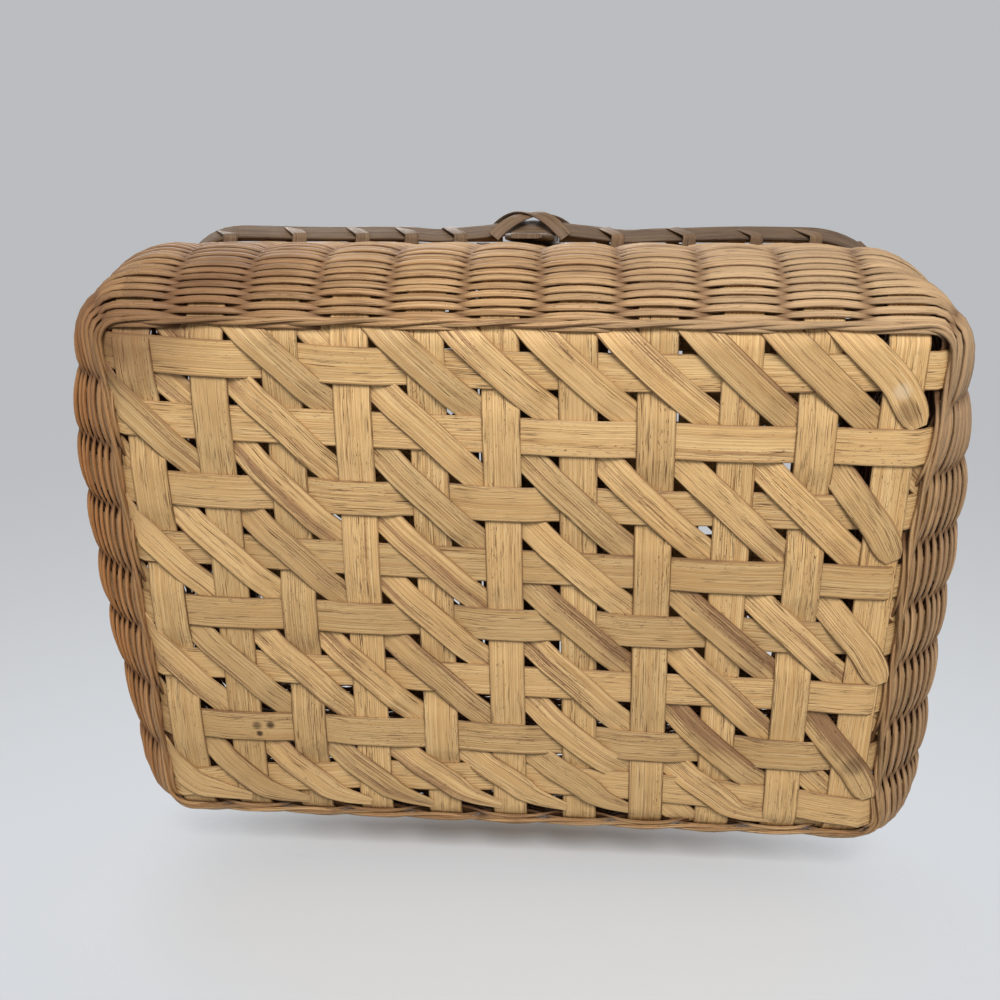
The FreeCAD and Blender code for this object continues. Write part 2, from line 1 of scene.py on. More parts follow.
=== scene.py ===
# %% [markdown]
# # A woven basket with a bow handle and two hinged half lids
# The basket is made of split cane. Flat strips cross the base and turn up as stakes, thin weavers run round them,
# and two wooden bands close the rim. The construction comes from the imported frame, in metres, with +Z up.
# This lesson dresses that frame: it makes the strips and weavers as real woven strands and gives them cane finishes.

# %% Load the frame
import math
import random
from collections import namedtuple

import bpy
import numpy as np
from mathutils import Matrix, Vector


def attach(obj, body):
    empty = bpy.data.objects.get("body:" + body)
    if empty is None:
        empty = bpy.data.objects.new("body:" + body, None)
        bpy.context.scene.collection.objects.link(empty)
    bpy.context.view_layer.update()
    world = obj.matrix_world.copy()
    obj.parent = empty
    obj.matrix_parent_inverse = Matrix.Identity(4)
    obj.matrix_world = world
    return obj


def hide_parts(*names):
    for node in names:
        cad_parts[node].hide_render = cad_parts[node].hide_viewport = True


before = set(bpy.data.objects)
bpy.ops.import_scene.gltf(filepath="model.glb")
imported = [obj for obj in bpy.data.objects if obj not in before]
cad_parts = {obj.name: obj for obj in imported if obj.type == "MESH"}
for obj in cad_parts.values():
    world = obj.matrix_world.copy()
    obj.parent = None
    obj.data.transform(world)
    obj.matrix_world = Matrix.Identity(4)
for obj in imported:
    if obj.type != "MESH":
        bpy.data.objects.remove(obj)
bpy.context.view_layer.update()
MM = 0.001
rng = random.Random(41)

# %% [markdown]
# ## The outline of the basket
# The base is a rectangle. From its edge the wall bows out along an arc to the belly and then leans in to the rim.
# The same few numbers as in the construction give every layer of the wall, so each strand can be placed by its
# depth behind the outer face and its height. All lengths are in millimetres.

# %% Wall outline
HALF_LENGTH, HALF_DEPTH = 202.0, 144.0
FLARE_RADIUS, BELLY, RIM_HEIGHT, RIM_REACH = 64.0, 32.0, 168.0, 10.5
flare_x = BELLY - FLARE_RADIUS
flare_z = math.sqrt(FLARE_RADIUS ** 2 - flare_x ** 2)
rim_run, rim_rise = RIM_REACH - flare_x, RIM_HEIGHT - flare_z
lean = math.atan2(rim_rise, rim_run) - math.acos(FLARE_RADIUS / math.hypot(rim_run, rim_rise))


def wall_point(depth, height):
    """Reach beyond the base edge, and the outward and upward parts of the normal."""
    radius = FLARE_RADIUS - depth
    start_z = flare_z + radius * math.sin(lean)
    if height >= start_z:
        reach = flare_x + radius * math.cos(lean) - (height - start_z) * math.tan(lean)
        return reach, math.cos(lean), math.sin(lean)
    across = math.sqrt(max(radius ** 2 - (height - flare_z) ** 2, 1.0))
    return flare_x + across, across / radius, (height - flare_z) / radius


def ease(low, high, value):
    """A soft step from 0 at low to 1 at high, for one value or an array."""
    share = np.clip((value - low) / (high - low), 0.0, 1.0)
    return share * share * (3 - 2 * share)


print("the wall leans in by", round(math.degrees(lean), 1), "degrees above height",
      round(flare_z + FLARE_RADIUS * math.sin(lean)))

# %% [markdown]
# Seen from above, the base has tight corners and the belly has wide ones, because weavers pull a corner round.
# A plan is one closed line at one height. Walking along it by length gives a point and the direction outwards.
# An old basket isn't true, and a perfect plan would look like a machine's: the left end is fuller in its middle,
# the right end is slack towards the front, and the right edge of the base is drawn in.

# %% Plans of the basket
# How far each corner widens at the belly and tightens again at the rim:
# front right, back right, back left, front left.
CORNER_BASE = 13.0
CORNERS = ((60, 23), (47, 25), (47, 25), (46, 24))
LEFT_BULGE, RIGHT_SLACK, RIGHT_HOLLOW = 9.0, 7.0, 5.5
END_SWELL, SIDE_DRAW = 3.5, 1.5


def left_bulge(y):
    return LEFT_BULGE * ease(-135, -70, y) * ease(150, 0, y)


def right_slack(y):
    return RIGHT_SLACK * ease(-45, -125, y)


def right_hollow(y):
    return RIGHT_HOLLOW * ease(-110, -40, y) * ease(150, 95, y)


class Plan:
    """A rectangle with rounded corners, walked from the front's left end to the right and on round."""

    def __init__(self, depth, height):
        reach = wall_point(depth, height)[0]
        behind = wall_point(0.0, height)[0] - reach
        belly, rim = ease(0, 45, height), ease(70, 165, height)
        self.corner = [max(CORNER_BASE + more * belly - less * rim - behind, 4.0) for more, less in CORNERS]
        self.swell = ease(4, 40, height) * (1 - ease(80, 150, height))
        self.foot = ease(40, 4, height)
        self.half = (HALF_LENGTH + reach + END_SWELL * self.swell, HALF_DEPTH + reach - SIDE_DRAW * self.swell)
        self.ends, self.starts = [], [0.0]
        for wall in range(4):
            side = self.half[wall % 2]
            self.ends.append((self.corner[wall - 1] - side, side - self.corner[wall]))
            self.starts.append(self.starts[-1] + self.ends[wall][1] - self.ends[wall][0])
            self.starts.append(self.starts[-1] + math.pi / 2 * self.corner[wall])
        self.total = self.starts[-1]

    def place(self, wall, offset):
        """Length along the walk to the point of a wall this far from its middle, in the walking direction."""
        low, high = self.ends[wall]
        if offset < low:
            return self.starts[2 * wall] - self.bend(self.corner[wall - 1], low - offset)
        if offset > high:
            return self.starts[2 * wall + 1] + self.bend(self.corner[wall], offset - high)
        return self.starts[2 * wall] + offset - low

    @staticmethod
    def bend(radius, beyond):
        return radius * math.asin(min(beyond / radius, 1.0))

    def at(self, walked):
        """Points and outward directions in the plan at these lengths along the walk."""
        walked = np.mod(np.asarray(walked, dtype=float), self.total)
        points = np.zeros((len(walked), 2))
        normals = np.zeros((len(walked), 2))
        for number in range(8):
            inside = (walked >= self.starts[number]) & (walked <= self.starts[number + 1])
            run = walked[inside] - self.starts[number]
            wall = number // 2
            out = np.array(((0, -1), (1, 0), (0, 1), (-1, 0))[wall], dtype=float)
            along = np.array((-out[1], out[0]))
            radius, out_by = self.corner[wall], self.half[(wall + 1) % 2]
            if number % 2 == 0:
                normals[inside] = out
                points[inside] = out * out_by + np.outer(run + self.ends[wall][0], along)
            else:
                turned = run / radius
                normals[inside] = np.outer(np.cos(turned), out) + np.outer(np.sin(turned), along)
                points[inside] = out * (out_by - radius) + along * self.ends[wall][1] + radius * normals[inside]
        y = points[:, 1]
        points[:, 0] -= self.swell * left_bulge(y) * np.maximum(-normals[:, 0], 0)
        drawn_in = self.swell * right_slack(y) + self.foot * right_hollow(y)
        points[:, 0] -= drawn_in * np.maximum(normals[:, 0], 0)
        return points, normals


for height in (1, 50, 165):
    print("plan at height", height, "is", [round(2 * half) for half in Plan(0, height).half], "across")

# %% [markdown]
# ## One sweep for every strand
# A cane strip, a weaver, a rod and a bent band are all one section carried along a path. A bevelled curve object could
# do it, but it can't hold its flat side to a wall that curves. A Geometry Nodes tree can: the path is a mesh of points
# and edges, each point knows which way is up, and the tree turns it into a curve and carries a section along it.
# The section is a circle pushed towards a box by its Squareness. A strip that ends at a slanting edge is cut along it:
# its last rings slide along the strip until they lie square to the cut direction. The tree also writes where a point
# lies on the strand (along, across, seed), for the grain.

# %% The strand tree
def strand_tree():
    tree = bpy.data.node_groups.new("cane_strand", "GeometryNodeTree")
    face = tree.interface
    face.new_socket("Paths", in_out="INPUT", socket_type="NodeSocketGeometry")
    for name, value in (("Thickness", 0.0013), ("Width", 0.0175), ("Squareness", 0.35)):
        face.new_socket(name, in_out="INPUT", socket_type="NodeSocketFloat").default_value = value
    face.new_socket("Sides", in_out="INPUT", socket_type="NodeSocketInt").default_value = 12
    face.new_socket("Finish", in_out="INPUT", socket_type="NodeSocketMaterial")
    face.new_socket("Strands", in_out="OUTPUT", socket_type="NodeSocketGeometry")
    nodes, links = tree.nodes, tree.links
    given = nodes.new("NodeGroupInput")

    def add(kind, inputs, output=0, **settings):
        node = nodes.new(kind)
        for key, value in settings.items():
            setattr(node, key, value)
        for key, value in inputs.items():
            if isinstance(value, bpy.types.NodeSocket):
                links.new(value, node.inputs[key])
            else:
                node.inputs[key].default_value = value
        return node.outputs[output]

    def sums(operation, first, second=0.0):
        return add("ShaderNodeMath", {0: first, 1: second}, operation=operation)

    def vectors(operation, first, second, output="Vector"):
        return add("ShaderNodeVectorMath", {0: first, 1: second}, output, operation=operation)

    def stored(name, kind="FLOAT"):
        return add("GeometryNodeInputNamedAttribute", {"Name": name}, data_type=kind)

    def store(geometry, name, value, kind="FLOAT"):
        inputs = {"Geometry": geometry, "Name": name, "Value": value}
        return add("GeometryNodeStoreNamedAttribute", inputs, data_type=kind, domain="POINT")

    circle = add("GeometryNodeCurvePrimitiveCircle", {"Resolution": given.outputs["Sides"], "Radius": 1.0})
    split = nodes.new("ShaderNodeSeparateXYZ")
    links.new(add("GeometryNodeInputPosition", {}), split.inputs[0])
    boxed = []
    for axis in (0, 1):
        power = sums("POWER", sums("ABSOLUTE", split.outputs[axis]), given.outputs["Squareness"])
        boxed.append(sums("MULTIPLY", power, sums("SIGN", split.outputs[axis])))
    marked = store(circle, "across", boxed[1])
    halves = [sums("MULTIPLY", given.outputs[name], 0.5) for name in ("Thickness", "Width")]
    flat = add("ShaderNodeCombineXYZ", {
        "X": sums("MULTIPLY", boxed[0], halves[0]), "Y": sums("MULTIPLY", stored("across"), halves[1])})
    section = add("GeometryNodeSetPosition", {"Geometry": marked, "Position": flat})

    curve = add("GeometryNodeMeshToCurve", {"Mesh": given.outputs["Paths"]})
    curve = store(curve, "along", add("GeometryNodeSplineParameter", {}, "Length"))
    curve = store(curve, "way", add("GeometryNodeInputTangent", {}), "FLOAT_VECTOR")
    curve = store(curve, "centre", add("GeometryNodeInputPosition", {}), "FLOAT_VECTOR")
    curve = add("GeometryNodeSetCurveNormal", {"Curve": curve, "Normal": stored("up", "FLOAT_VECTOR")}, mode="FREE")
    mesh = add("GeometryNodeCurveToMesh", {
        "Curve": curve, "Profile Curve": section, "Scale": stored("girth"), "Fill Caps": True})
    aside = vectors("SUBTRACT", add("GeometryNodeInputPosition", {}), stored("centre", "FLOAT_VECTOR"))
    over = vectors("DOT_PRODUCT", aside, stored("cut", "FLOAT_VECTOR"), "Value")
    runs = vectors("DOT_PRODUCT", stored("way", "FLOAT_VECTOR"), stored("cut", "FLOAT_VECTOR"), "Value")
    slide = sums("MULTIPLY", sums("DIVIDE", over, runs), sums("MULTIPLY", stored("trim"), -1.0))
    moved = add("ShaderNodeVectorMath", {0: stored("way", "FLOAT_VECTOR"), "Scale": slide}, operation="SCALE")
    mesh = add("GeometryNodeSetPosition", {"Geometry": mesh, "Offset": moved})
    grain = add("ShaderNodeCombineXYZ", {"X": stored("along"), "Y": stored("across"), "Z": stored("seed")})
    mesh = store(mesh, "grain", grain, "FLOAT_VECTOR")
    mesh = add("GeometryNodeSetShadeSmooth", {"Geometry": mesh, "Shade Smooth": True})
    mesh = add("GeometryNodeRealizeInstances", {"Geometry": mesh})
    mesh = add("GeometryNodeSetMaterial", {"Geometry": mesh, "Material": given.outputs["Finish"]})
    links.new(mesh, nodes.new("NodeGroupOutput").inputs[0])
    return tree


strand = strand_tree()
strand_inputs = {item.name: item.identifier for item in strand.interface.items_tree if item.in_out == "INPUT"}
print("strand tree:", len(strand.nodes), "nodes, inputs", list(strand_inputs))


# %% Paths and sweeping
TRIM_RINGS = 6


class Paths:
    """Polylines in millimetres that the strand tree sweeps into one mesh."""

    def __init__(self):
        self.points, self.edges = [], []
        self.values = {"up": [], "cut": [], "seed": [], "dip": [], "girth": [], "trim": []}

    def add(self, points, ups, closed=False, dips=None, girths=None, cuts=(None, None)):
        first, count = len(self.points), len(points)
        self.points += [tuple(point) for point in points]
        self.edges += [(first + step, first + step + 1) for step in range(count - 1)]
        if closed:
            self.edges.append((first + count - 1, first))
        self.values["up"] += [tuple(up) for up in ups]
        self.values["seed"] += [rng.random()] * count
        self.values["dip"] += list(dips) if dips is not None else [0.0] * count
        self.values["girth"] += list(girths) if girths is not None else [1.0] * count
        directions, trims = [(0.0, 0.0, 0.0)] * count, [0.0] * count
        for cut, order in zip(cuts, (range(TRIM_RINGS), range(count - 1, count - 1 - TRIM_RINGS, -1))):
            for step, number in enumerate(order if cut else ()):
                directions[number], trims[number] = cut, 1 - step / TRIM_RINGS
        self.values["cut"] += directions
        self.values["trim"] += trims


# One kind of strand: its section in millimetres, its finish and its material slot.
Stock = namedtuple("Stock", "thickness width squareness sides finish slot")


def sweep(name, paths, stock, body, *nodes):
    """Sweep the paths into a plain mesh, and let it ride on a body in place of its CAD nodes."""
    mesh = bpy.data.meshes.new(name)
    mesh.from_pydata(np.array(paths.points) * MM, paths.edges, [])
    for key, values in paths.values.items():
        kind = "FLOAT_VECTOR" if key in ("up", "cut") else "FLOAT"
        field = "vector" if key in ("up", "cut") else "value"
        mesh.attributes.new(key, kind, "POINT").data.foreach_set(field, np.array(values, dtype=np.float32).ravel())
    piece = bpy.data.objects.new(name, mesh)
    bpy.context.scene.collection.objects.link(piece)
    modifier = piece.modifiers.new("strand", "NODES")
    modifier.node_group = strand
    settings = (("Thickness", stock.thickness * MM), ("Width", stock.width * MM), ("Squareness", stock.squareness),
                ("Sides", stock.sides), ("Finish", stock.finish))
    for key, value in settings:
        modifier[strand_inputs[key]] = value
    graph = bpy.context.evaluated_depsgraph_get()
    solid = bpy.data.meshes.new_from_object(
        piece.evaluated_get(graph), preserve_all_data_layers=True, depsgraph=graph)
    piece.modifiers.remove(modifier)
    piece.data = solid
    solid.name = name
    for key in ("up", "cut", "way", "centre", "along", "across", "seed", "girth", "trim"):
        solid.attributes.remove(solid.attributes[key])
    corners = np.zeros(len(solid.vertices) * 3, dtype=np.float32)
    solid.vertices.foreach_get("co", corners)
    solid.calc_loop_triangles()
    faces = np.zeros(len(solid.loop_triangles) * 3, dtype=np.int32)
    solid.loop_triangles.foreach_get("vertices", faces)
    first, second, third = corners.reshape(-1, 3)[faces.reshape(-1, 3)].transpose(1, 0, 2)
    if np.einsum("ij,ij->i", first, np.cross(second, third)).sum() < 0:
        solid.flip_normals()
    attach(piece, body)
    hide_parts(*nodes)
    print(name, len(faces) // 3, "triangles")


def sweep_one(name, points, ups, stock, body, node, **more):
    """Sweep a single path."""
    paths = Paths()
    paths.add(points, ups, **more)
    sweep(name, paths, stock, body, node)


print("a slanting cut is spread over", TRIM_RINGS, "rings")


# %% [markdown]
# ## Cane and wood finishes
# Cane has long fibres, thin dark pores between them and a paler skin, and its edges are painted darker as shade. A wood
# pattern laid through the whole basket would cut across the bent strands, so the finish reads the strand's own grain
# (along, across, seed): fibres run with every strip, and slow blotches come by place. Each strip's seed shifts its tone
# a little, because no two strips come from the same stem.

# %% Finish helpers
def srgb(red, green, blue):
    """A colour picked on a screen, turned into the linear values that shaders use."""
    values = [channel / 255 for channel in (red, green, blue)]
    return tuple(v / 12.92 if v <= 0.04045 else ((v + 0.055) / 1.055) ** 2.4 for v in values) + (1.0,)


class Shading:
    """A node tree with short names for the shader nodes that this lesson uses."""

    def __init__(self, tree):
        self.nodes, self.links = tree.nodes, tree.links

    def set(self, node, key, value):
        if isinstance(value, bpy.types.NodeSocket):
            self.links.new(value, node.inputs[key])
        else:
            node.inputs[key].default_value = value

    def add(self, kind, inputs, output=0, **settings):
        node = self.nodes.new(kind)
        for key, value in settings.items():
            setattr(node, key, value)
        for key, value in inputs.items():
            self.set(node, key, value)
        return node.outputs[output]

    def math(self, operation, first, second=0.0, third=0.0):
        return self.add("ShaderNodeMath", {0: first, 1: second, 2: third}, operation=operation)

    def range(self, value, low, high, start=0.0, end=1.0):
        inputs = dict(enumerate((value, low, high, start, end)))
        return self.add("ShaderNodeMapRange", inputs, interpolation_type="SMOOTHSTEP")

    def split(self, vector):
        """The three parts of a vector."""
        return self.add("ShaderNodeSeparateXYZ", {0: vector}).node.outputs

    def seen(self):
        """1 for rays from the camera and for mirror rays, 0 for the light that falls on the basket."""
        path = self.add("ShaderNodeLightPath", {}).node
        return self.math("MAXIMUM", path.outputs["Is Camera Ray"], path.outputs["Is Glossy Ray"])

    def place(self):
        return self.add("ShaderNodeTexCoord", {}, "Object")

    def away_from(self, spot):
        """Distance to a spot of the basket, in metres."""
        return self.add("ShaderNodeVectorMath", {0: self.place(), 1: spot}, "Value", operation="DISTANCE")

    def noise(self, vector, scale, detail=3.0, rough=0.55):
        inputs = {"Vector": vector, "Scale": scale, "Detail": detail, "Roughness": rough}
        return self.add("ShaderNodeTexNoise", inputs, "Fac")

    def mix(self, share, first, second, blend="MIX"):
        return self.add("ShaderNodeMix", {0: share, 6: first, 7: second}, 2, data_type="RGBA", blend_type=blend)


class Finish(Shading):
    """A material of the basket or of the stage."""

    def __init__(self, name):
        self.material = bpy.data.materials.new(name)
        self.material.use_nodes = True
        super().__init__(self.material.node_tree)
        self.shader = self.nodes["Principled BSDF"]

    def attribute(self, name, output):
        return self.add("ShaderNodeAttribute", {}, output, attribute_name=name)

    def bump(self, height, strength, distance):
        inputs = {"Height": height, "Strength": strength, "Distance": distance}
        self.set(self.shader, "Normal", self.add("ShaderNodeBump", inputs))


print("finish helpers ready; middle grey is", round(srgb(128, 128, 128)[0], 3), "in linear light")

# %% The cane finish
STAIN = (-0.215, -0.165, 0.02)
# The first colour is painted light on the weavers' front wall; the second and third are painted shade on their end
# walls.
lit_front_pale, left_end_shade, right_end_shade = srgb(196, 172, 140), srgb(196, 130, 72), srgb(178, 144, 110)
stain_brown = srgb(116, 80, 53)


def cane_finish(name, pale, warm, dark, aged, lines, age, edge, painted_shade_and_stain, gloss, marks=()):
    """Split cane: fibres along the strand, dark pores, weathered stretches, edges painted darker as shade, a tone of
    its own.
    """
    f = Finish(name)
    along, across, seed = f.split(f.attribute("grain", "Vector"))

    def stretched(by_length, by_width, shift):
        lane = f.math("MULTIPLY_ADD", seed, 61.0, shift)
        lengths, widths = f.math("MULTIPLY", along, by_length), f.math("MULTIPLY", across, by_width)
        return f.add("ShaderNodeCombineXYZ", {0: lengths, 1: widths, 2: lane})

    fibre = f.noise(stretched(9.0, lines * 0.7, 0.0), 1.0, 4.0, 0.6)
    pore = f.noise(stretched(65.0, lines, 7.0), 1.0, 2.0, 0.5)
    crowd = f.noise(stretched(13.0, 1.6, 3.0), 1.0, 2.0)
    weather = f.noise(stretched(7.0, 0.9, 11.0), 1.0, 3.0, 0.6)
    blotch = f.noise(f.place(), 17.0, 3.0, 0.6)
    hair = f.noise(stretched(5.0, lines * 1.7, 19.0), 1.0, 2.0, 0.5)
    colour = f.mix(f.range(fibre, 0.37, 0.63), pale, warm)
    colour = f.mix(f.range(hair, 0.36, 0.5, 0.42, 0.0), colour, aged)
    colour = f.mix(f.range(blotch, 0.46, 0.74, 0.0, 0.45), colour, warm)
    broken = f.math("ADD", weather, f.math("MULTIPLY_ADD", fibre, 0.7, -0.35))
    worn = f.range(broken, 0.68 - 0.2 * age, 0.86 - 0.2 * age)
    colour = f.mix(f.math("MULTIPLY", worn, 0.45 + 0.4 * age), colour, aged)
    lined = f.math("MULTIPLY", f.range(pore, 0.34, 0.43, 1.0, 0.0), f.range(crowd, 0.4, 0.64, 0.12, 0.9))
    speck = f.noise(stretched(330.0, lines * 0.8, 29.0), 1.0, 1.0, 0.5)
    specked = f.math("MULTIPLY", f.range(speck, 0.27, 0.33, 0.8, 0.0), f.range(weather, 0.42, 0.6))
    lined = f.math("MAXIMUM", lined, specked)
    colour = f.mix(lined, colour, dark)
    # Painted shade: each strand is darkened towards both edges, where it meets its neighbours.
    rim = f.math("MULTIPLY", f.range(f.math("ABSOLUTE", across), 0.86, 1.0), f.range(blotch, 0.25, 0.6, 0.4, 1.0))
    colour = f.mix(f.math("MULTIPLY", rim, edge), colour, dark)
    stained = f.range(f.away_from(STAIN), 0.035, 0.21 if painted_shade_and_stain else 0.085, 0.75, 0.0)
    if painted_shade_and_stain:
        x, y, _ = f.split(f.place())
        # Painted light: the front wall is painted paler from its middle to the right, where the lamp falls on it.
        lit_front = f.math("MULTIPLY", f.range(x, -0.04, 0.14), f.range(y, -0.14, -0.06, 0.3, 0.0))
        colour = f.mix(lit_front, colour, lit_front_pale)
        # Painted shade: the two end walls are painted darker, warm brown on the left and grey tan on the right.
        colour = f.mix(f.range(x, -0.235, -0.19, 0.6, 0.0), colour, left_end_shade)
        colour = f.mix(f.range(x, 0.19, 0.235, 0.0, 0.6), colour, right_end_shade)
        # Painted shade: a weaver is darkened where it dips behind a stake.
        colour = f.mix(f.math("MULTIPLY", f.attribute("dip", "Fac"), painted_shade_and_stain), colour, dark)
        stained = f.math("MULTIPLY", stained, f.range(y, -0.155, -0.125, 1.0, 0.2))
    colour = f.mix(f.math("MULTIPLY", stained, f.range(blotch, 0.3, 0.6, 0.35, 1.0)), colour, stain_brown)
    for spot, radius, strength, paint in marks:
        marked = f.range(f.away_from(spot), radius * 0.3, radius, strength, 0.0)
        colour = f.mix(f.math("MULTIPLY", marked, f.range(fibre, 0.3, 0.55, 0.6, 1.0)), colour, paint)
    tone = f.range(seed, 0.0, 1.0, 0.86, 1.07)
    shade = f.add("ShaderNodeCombineColor", {0: tone, 1: tone, 2: tone})
    f.set(f.shader, "Base Color", f.mix(1.0, colour, shade, "MULTIPLY"))
    f.set(f.shader, "Roughness", f.range(fibre, 0.2, 0.8, gloss, gloss + 0.2))
    f.set(f.shader, "Specular IOR Level", 0.35)
    f.bump(f.math("SUBTRACT", fibre, lined), 0.55, 0.0006)
    return f.material


print("old damp has stained the cane round", STAIN)

# %% [markdown]
# The strips of the base are pale, its slant strips have weathered more, and the weavers are darker. On the weavers,
# shade is painted where they dip behind a stake and at the end walls, and light is painted on the front wall. Lashings
# and bands are a grey brown. One material with many switches could do it all, but five from one recipe keep each tone
# easy to change.
# Knots and smudges are marks: a spot, a radius, a strength and a colour.

# %% The five finishes
straw, tan, pore_brown, grey_brown = srgb(232, 196, 140), srgb(207, 164, 107), srgb(96, 60, 32), srgb(146, 106, 76)
knot, smudge, bleached = srgb(74, 52, 32), srgb(96, 72, 50), srgb(236, 222, 196)
cane_strip = cane_finish("cane_strip", straw, tan, pore_brown, grey_brown, 22.0, 0.25, 0.75, 0.0, 0.45, [
    ((-0.147, 0.0865, 0.0004), 0.0038, 0.8, knot), ((-0.1392, 0.086, 0.0004), 0.0034, 1.0, knot),
    ((-0.1459, 0.0918, 0.0004), 0.0028, 1.0, knot)])
cane_slant = cane_finish("cane_slant", straw, tan, pore_brown, grey_brown, 18.0, 0.8, 0.75, 0.0, 0.45, [
    ((0.1835, -0.1165, 0.0), 0.006, 0.35, bleached), ((0.1875, -0.106, 0.0), 0.0085, 0.5, smudge),
    ((0.1855, 0.0985, 0.0), 0.0085, 0.65, smudge)])
cane_weaver = cane_finish("cane_weaver", srgb(199, 162, 115), srgb(158, 119, 77), pore_brown, grey_brown,
                          4.5, 0.6, 0.85, 0.85, 0.5)
cane_lashing = cane_finish("cane_lashing", srgb(135, 108, 80), srgb(106, 81, 58), srgb(68, 48, 32), srgb(100, 82, 64),
                           8.0, 0.6, 0.5, 0.0, 0.45)
bent_wood = cane_finish("bent_wood", srgb(119, 96, 73), srgb(92, 71, 52), srgb(60, 44, 32), srgb(94, 77, 61),
                        16.0, 0.6, 0.4, 0.0, 0.5)
print("finishes:", [m.name for m in (cane_strip, cane_slant, cane_weaver, cane_lashing, bent_wood)])

# %% [markdown]
# ## The base lattice
# Eleven cross strips and eight long strips are woven over one, under one. A third set of strips runs slantwise and
# goes out over one crossing and in behind the next, so at each crossing three strips lie in three layers.
# A flat sheet with a painted weave would be quicker, but the holes and the strip ends show from a step away, so every
# strip is a strand. Layer 0 is the outermost, on the floor. A rule gives the layer of every strip at every crossing,
# and a strip eases from one layer to the next in the open hole between them.

# %% Layers at the crossings
cross_x = [share * 2 * HALF_LENGTH for share in (
    -0.441, -0.362, -0.272, -0.196, -0.108, -0.024, 0.072, 0.162, 0.257, 0.350, 0.441)]
long_y = [share * 2 * HALF_DEPTH for share in (-0.421, -0.330, -0.194, -0.072, 0.040, 0.173, 0.295, 0.415)]
# The strips of an old base run a little askew. Cross strips: x at the front and the back edge.
seen_x = [(-187.6, -188.2), (-150.9, -153.9), (-114.4, -117.2), (-79.4, -81.2), (-42.7, -41.2), (-6.6, -3.3),
          (30.9, 36.4), (68.9, 73.8), (108.8, 111.5), (145.7, 148.9), (184.5, 183.5)]
# Long strips: y at the left and the right edge, and how far the middle bows to the back.
seen_y = [(-131.5, -126.0, 5.0), (-97.0, -88.0, 2.0), (-59.5, -53.0, 2.5), (-25.0, -14.5, 1.5), (13.0, 20.0, 0.0),
          (46.5, 55.5, 1.0), (87.0, 95.0, -1.5), (130.0, 131.0, -13.0)]
STRIP, LAYER, LOWEST = 19.2, 1.34, 0.67


def column_x(i, y):
    """Where cross strip i lies at this y."""
    front, back = seen_x[i - 1]
    return front + (back - front) * (y + HALF_DEPTH) / (2 * HALF_DEPTH)


def row_y(j, x):
    """Where long strip j lies at this x."""
    left, right, bow = seen_y[j - 1]
    share = x / HALF_LENGTH
    return (left + right) / 2 + (right - left) / 2 * share + bow * (1 - share * share)


def crossing(i, j):
    """Where cross strip i meets long strip j."""
    y = row_y(j, sum(seen_x[i - 1]) / 2)
    return column_x(i, y), y


def slant_is_out(i, j):
    """Does the slant strip lie outermost where cross strip i meets long strip j?"""
    k = i - j
    if (i, j) in ((1, 1), (11, 8)):
        return False
    on_even_rows = k <= 3 if k % 2 else k <= -2
    return (j % 2 == 0) == on_even_rows


def layers(i, j):
    """Layers of the cross strip, the long strip and the slant strip at this crossing."""
    out = 1 if slant_is_out(i, j) else 0
    cross_over = (i + j) % 2 == 0
    return (out + (0 if cross_over else 1), out + (1 if cross_over else 0), 0 if out else 2)


def eased_level(place, places, levels, flat):
    """Level of a strip at a place: flat near each crossing, eased between two of them."""
    if place <= places[0]:
        return levels[0]
    for first, second, low, high in zip(places, places[1:], levels, levels[1:]):
        if place <= second:
            return low + (high - low) * ease(first + flat, second - flat, place)
    return levels[-1]


def level(layer):
    return LOWEST + LAYER * layer


print("layers at the first crossings:", [layers(1, j) for j in (1, 2, 3)])

# %% [markdown]
# A strip doesn't stop at the edge of the base. It turns up there and becomes a stake of the wall, as high as the rim.
# Bent copies of one strip would do for a new basket, but here each strip lies a little askew, so each has a path of its
# own: down one wall at the stakes' depth, across the base by its layers, and up the facing wall.

# %% Stakes
STAKE_DEPTH, STAKE_TOP, CLIMB_POINTS, BASE_SPACING = 4.0, 166.5, 34, 4
flat_cane = Stock(1.3, STRIP, 0.22, 16, cane_strip, "cane_strip")


def stake_path(wall_a, wall_b, offsets, places, levels, bow=0.0):
    """A strip from one wall's rim down, across the base, where it may bow, and up the facing wall."""
    climbs = []
    for wall, offset, end_level in ((wall_a, offsets[0], levels[0]), (wall_b, offsets[1], levels[-1])):
        climb = []
        for height in np.linspace(STAKE_TOP, end_level, CLIMB_POINTS):
            plan = Plan(STAKE_DEPTH, height)
            spot, out = plan.at([plan.place(wall, offset if wall in (0, 1) else -offset)])
            normal = wall_point(STAKE_DEPTH, height)
            climb.append(((*spot[0], height), (*(out[0] * normal[1]), normal[2])))
        climbs.append(climb)
    axis = 1 if wall_a == 0 else 0
    (first, _), (last, _) = climbs[0][-1], climbs[1][-1]
    across = []
    count = int(abs(last[axis] - first[axis]) / BASE_SPACING)
    for place in np.linspace(first[axis], last[axis], count)[1:-1]:
        share = (place - first[axis]) / (last[axis] - first[axis])
        side = first[1 - axis] + (last[1 - axis] - first[1 - axis]) * share + bow * 4 * share * (1 - share)
        height = eased_level(place, places, levels, STRIP / 2)
        across.append((((side, place, height) if axis else (place, side, height)), (0, 0, -1)))
    whole = climbs[0] + across + climbs[1][::-1]
    return [point for point, up in whole], [up for point, up in whole]


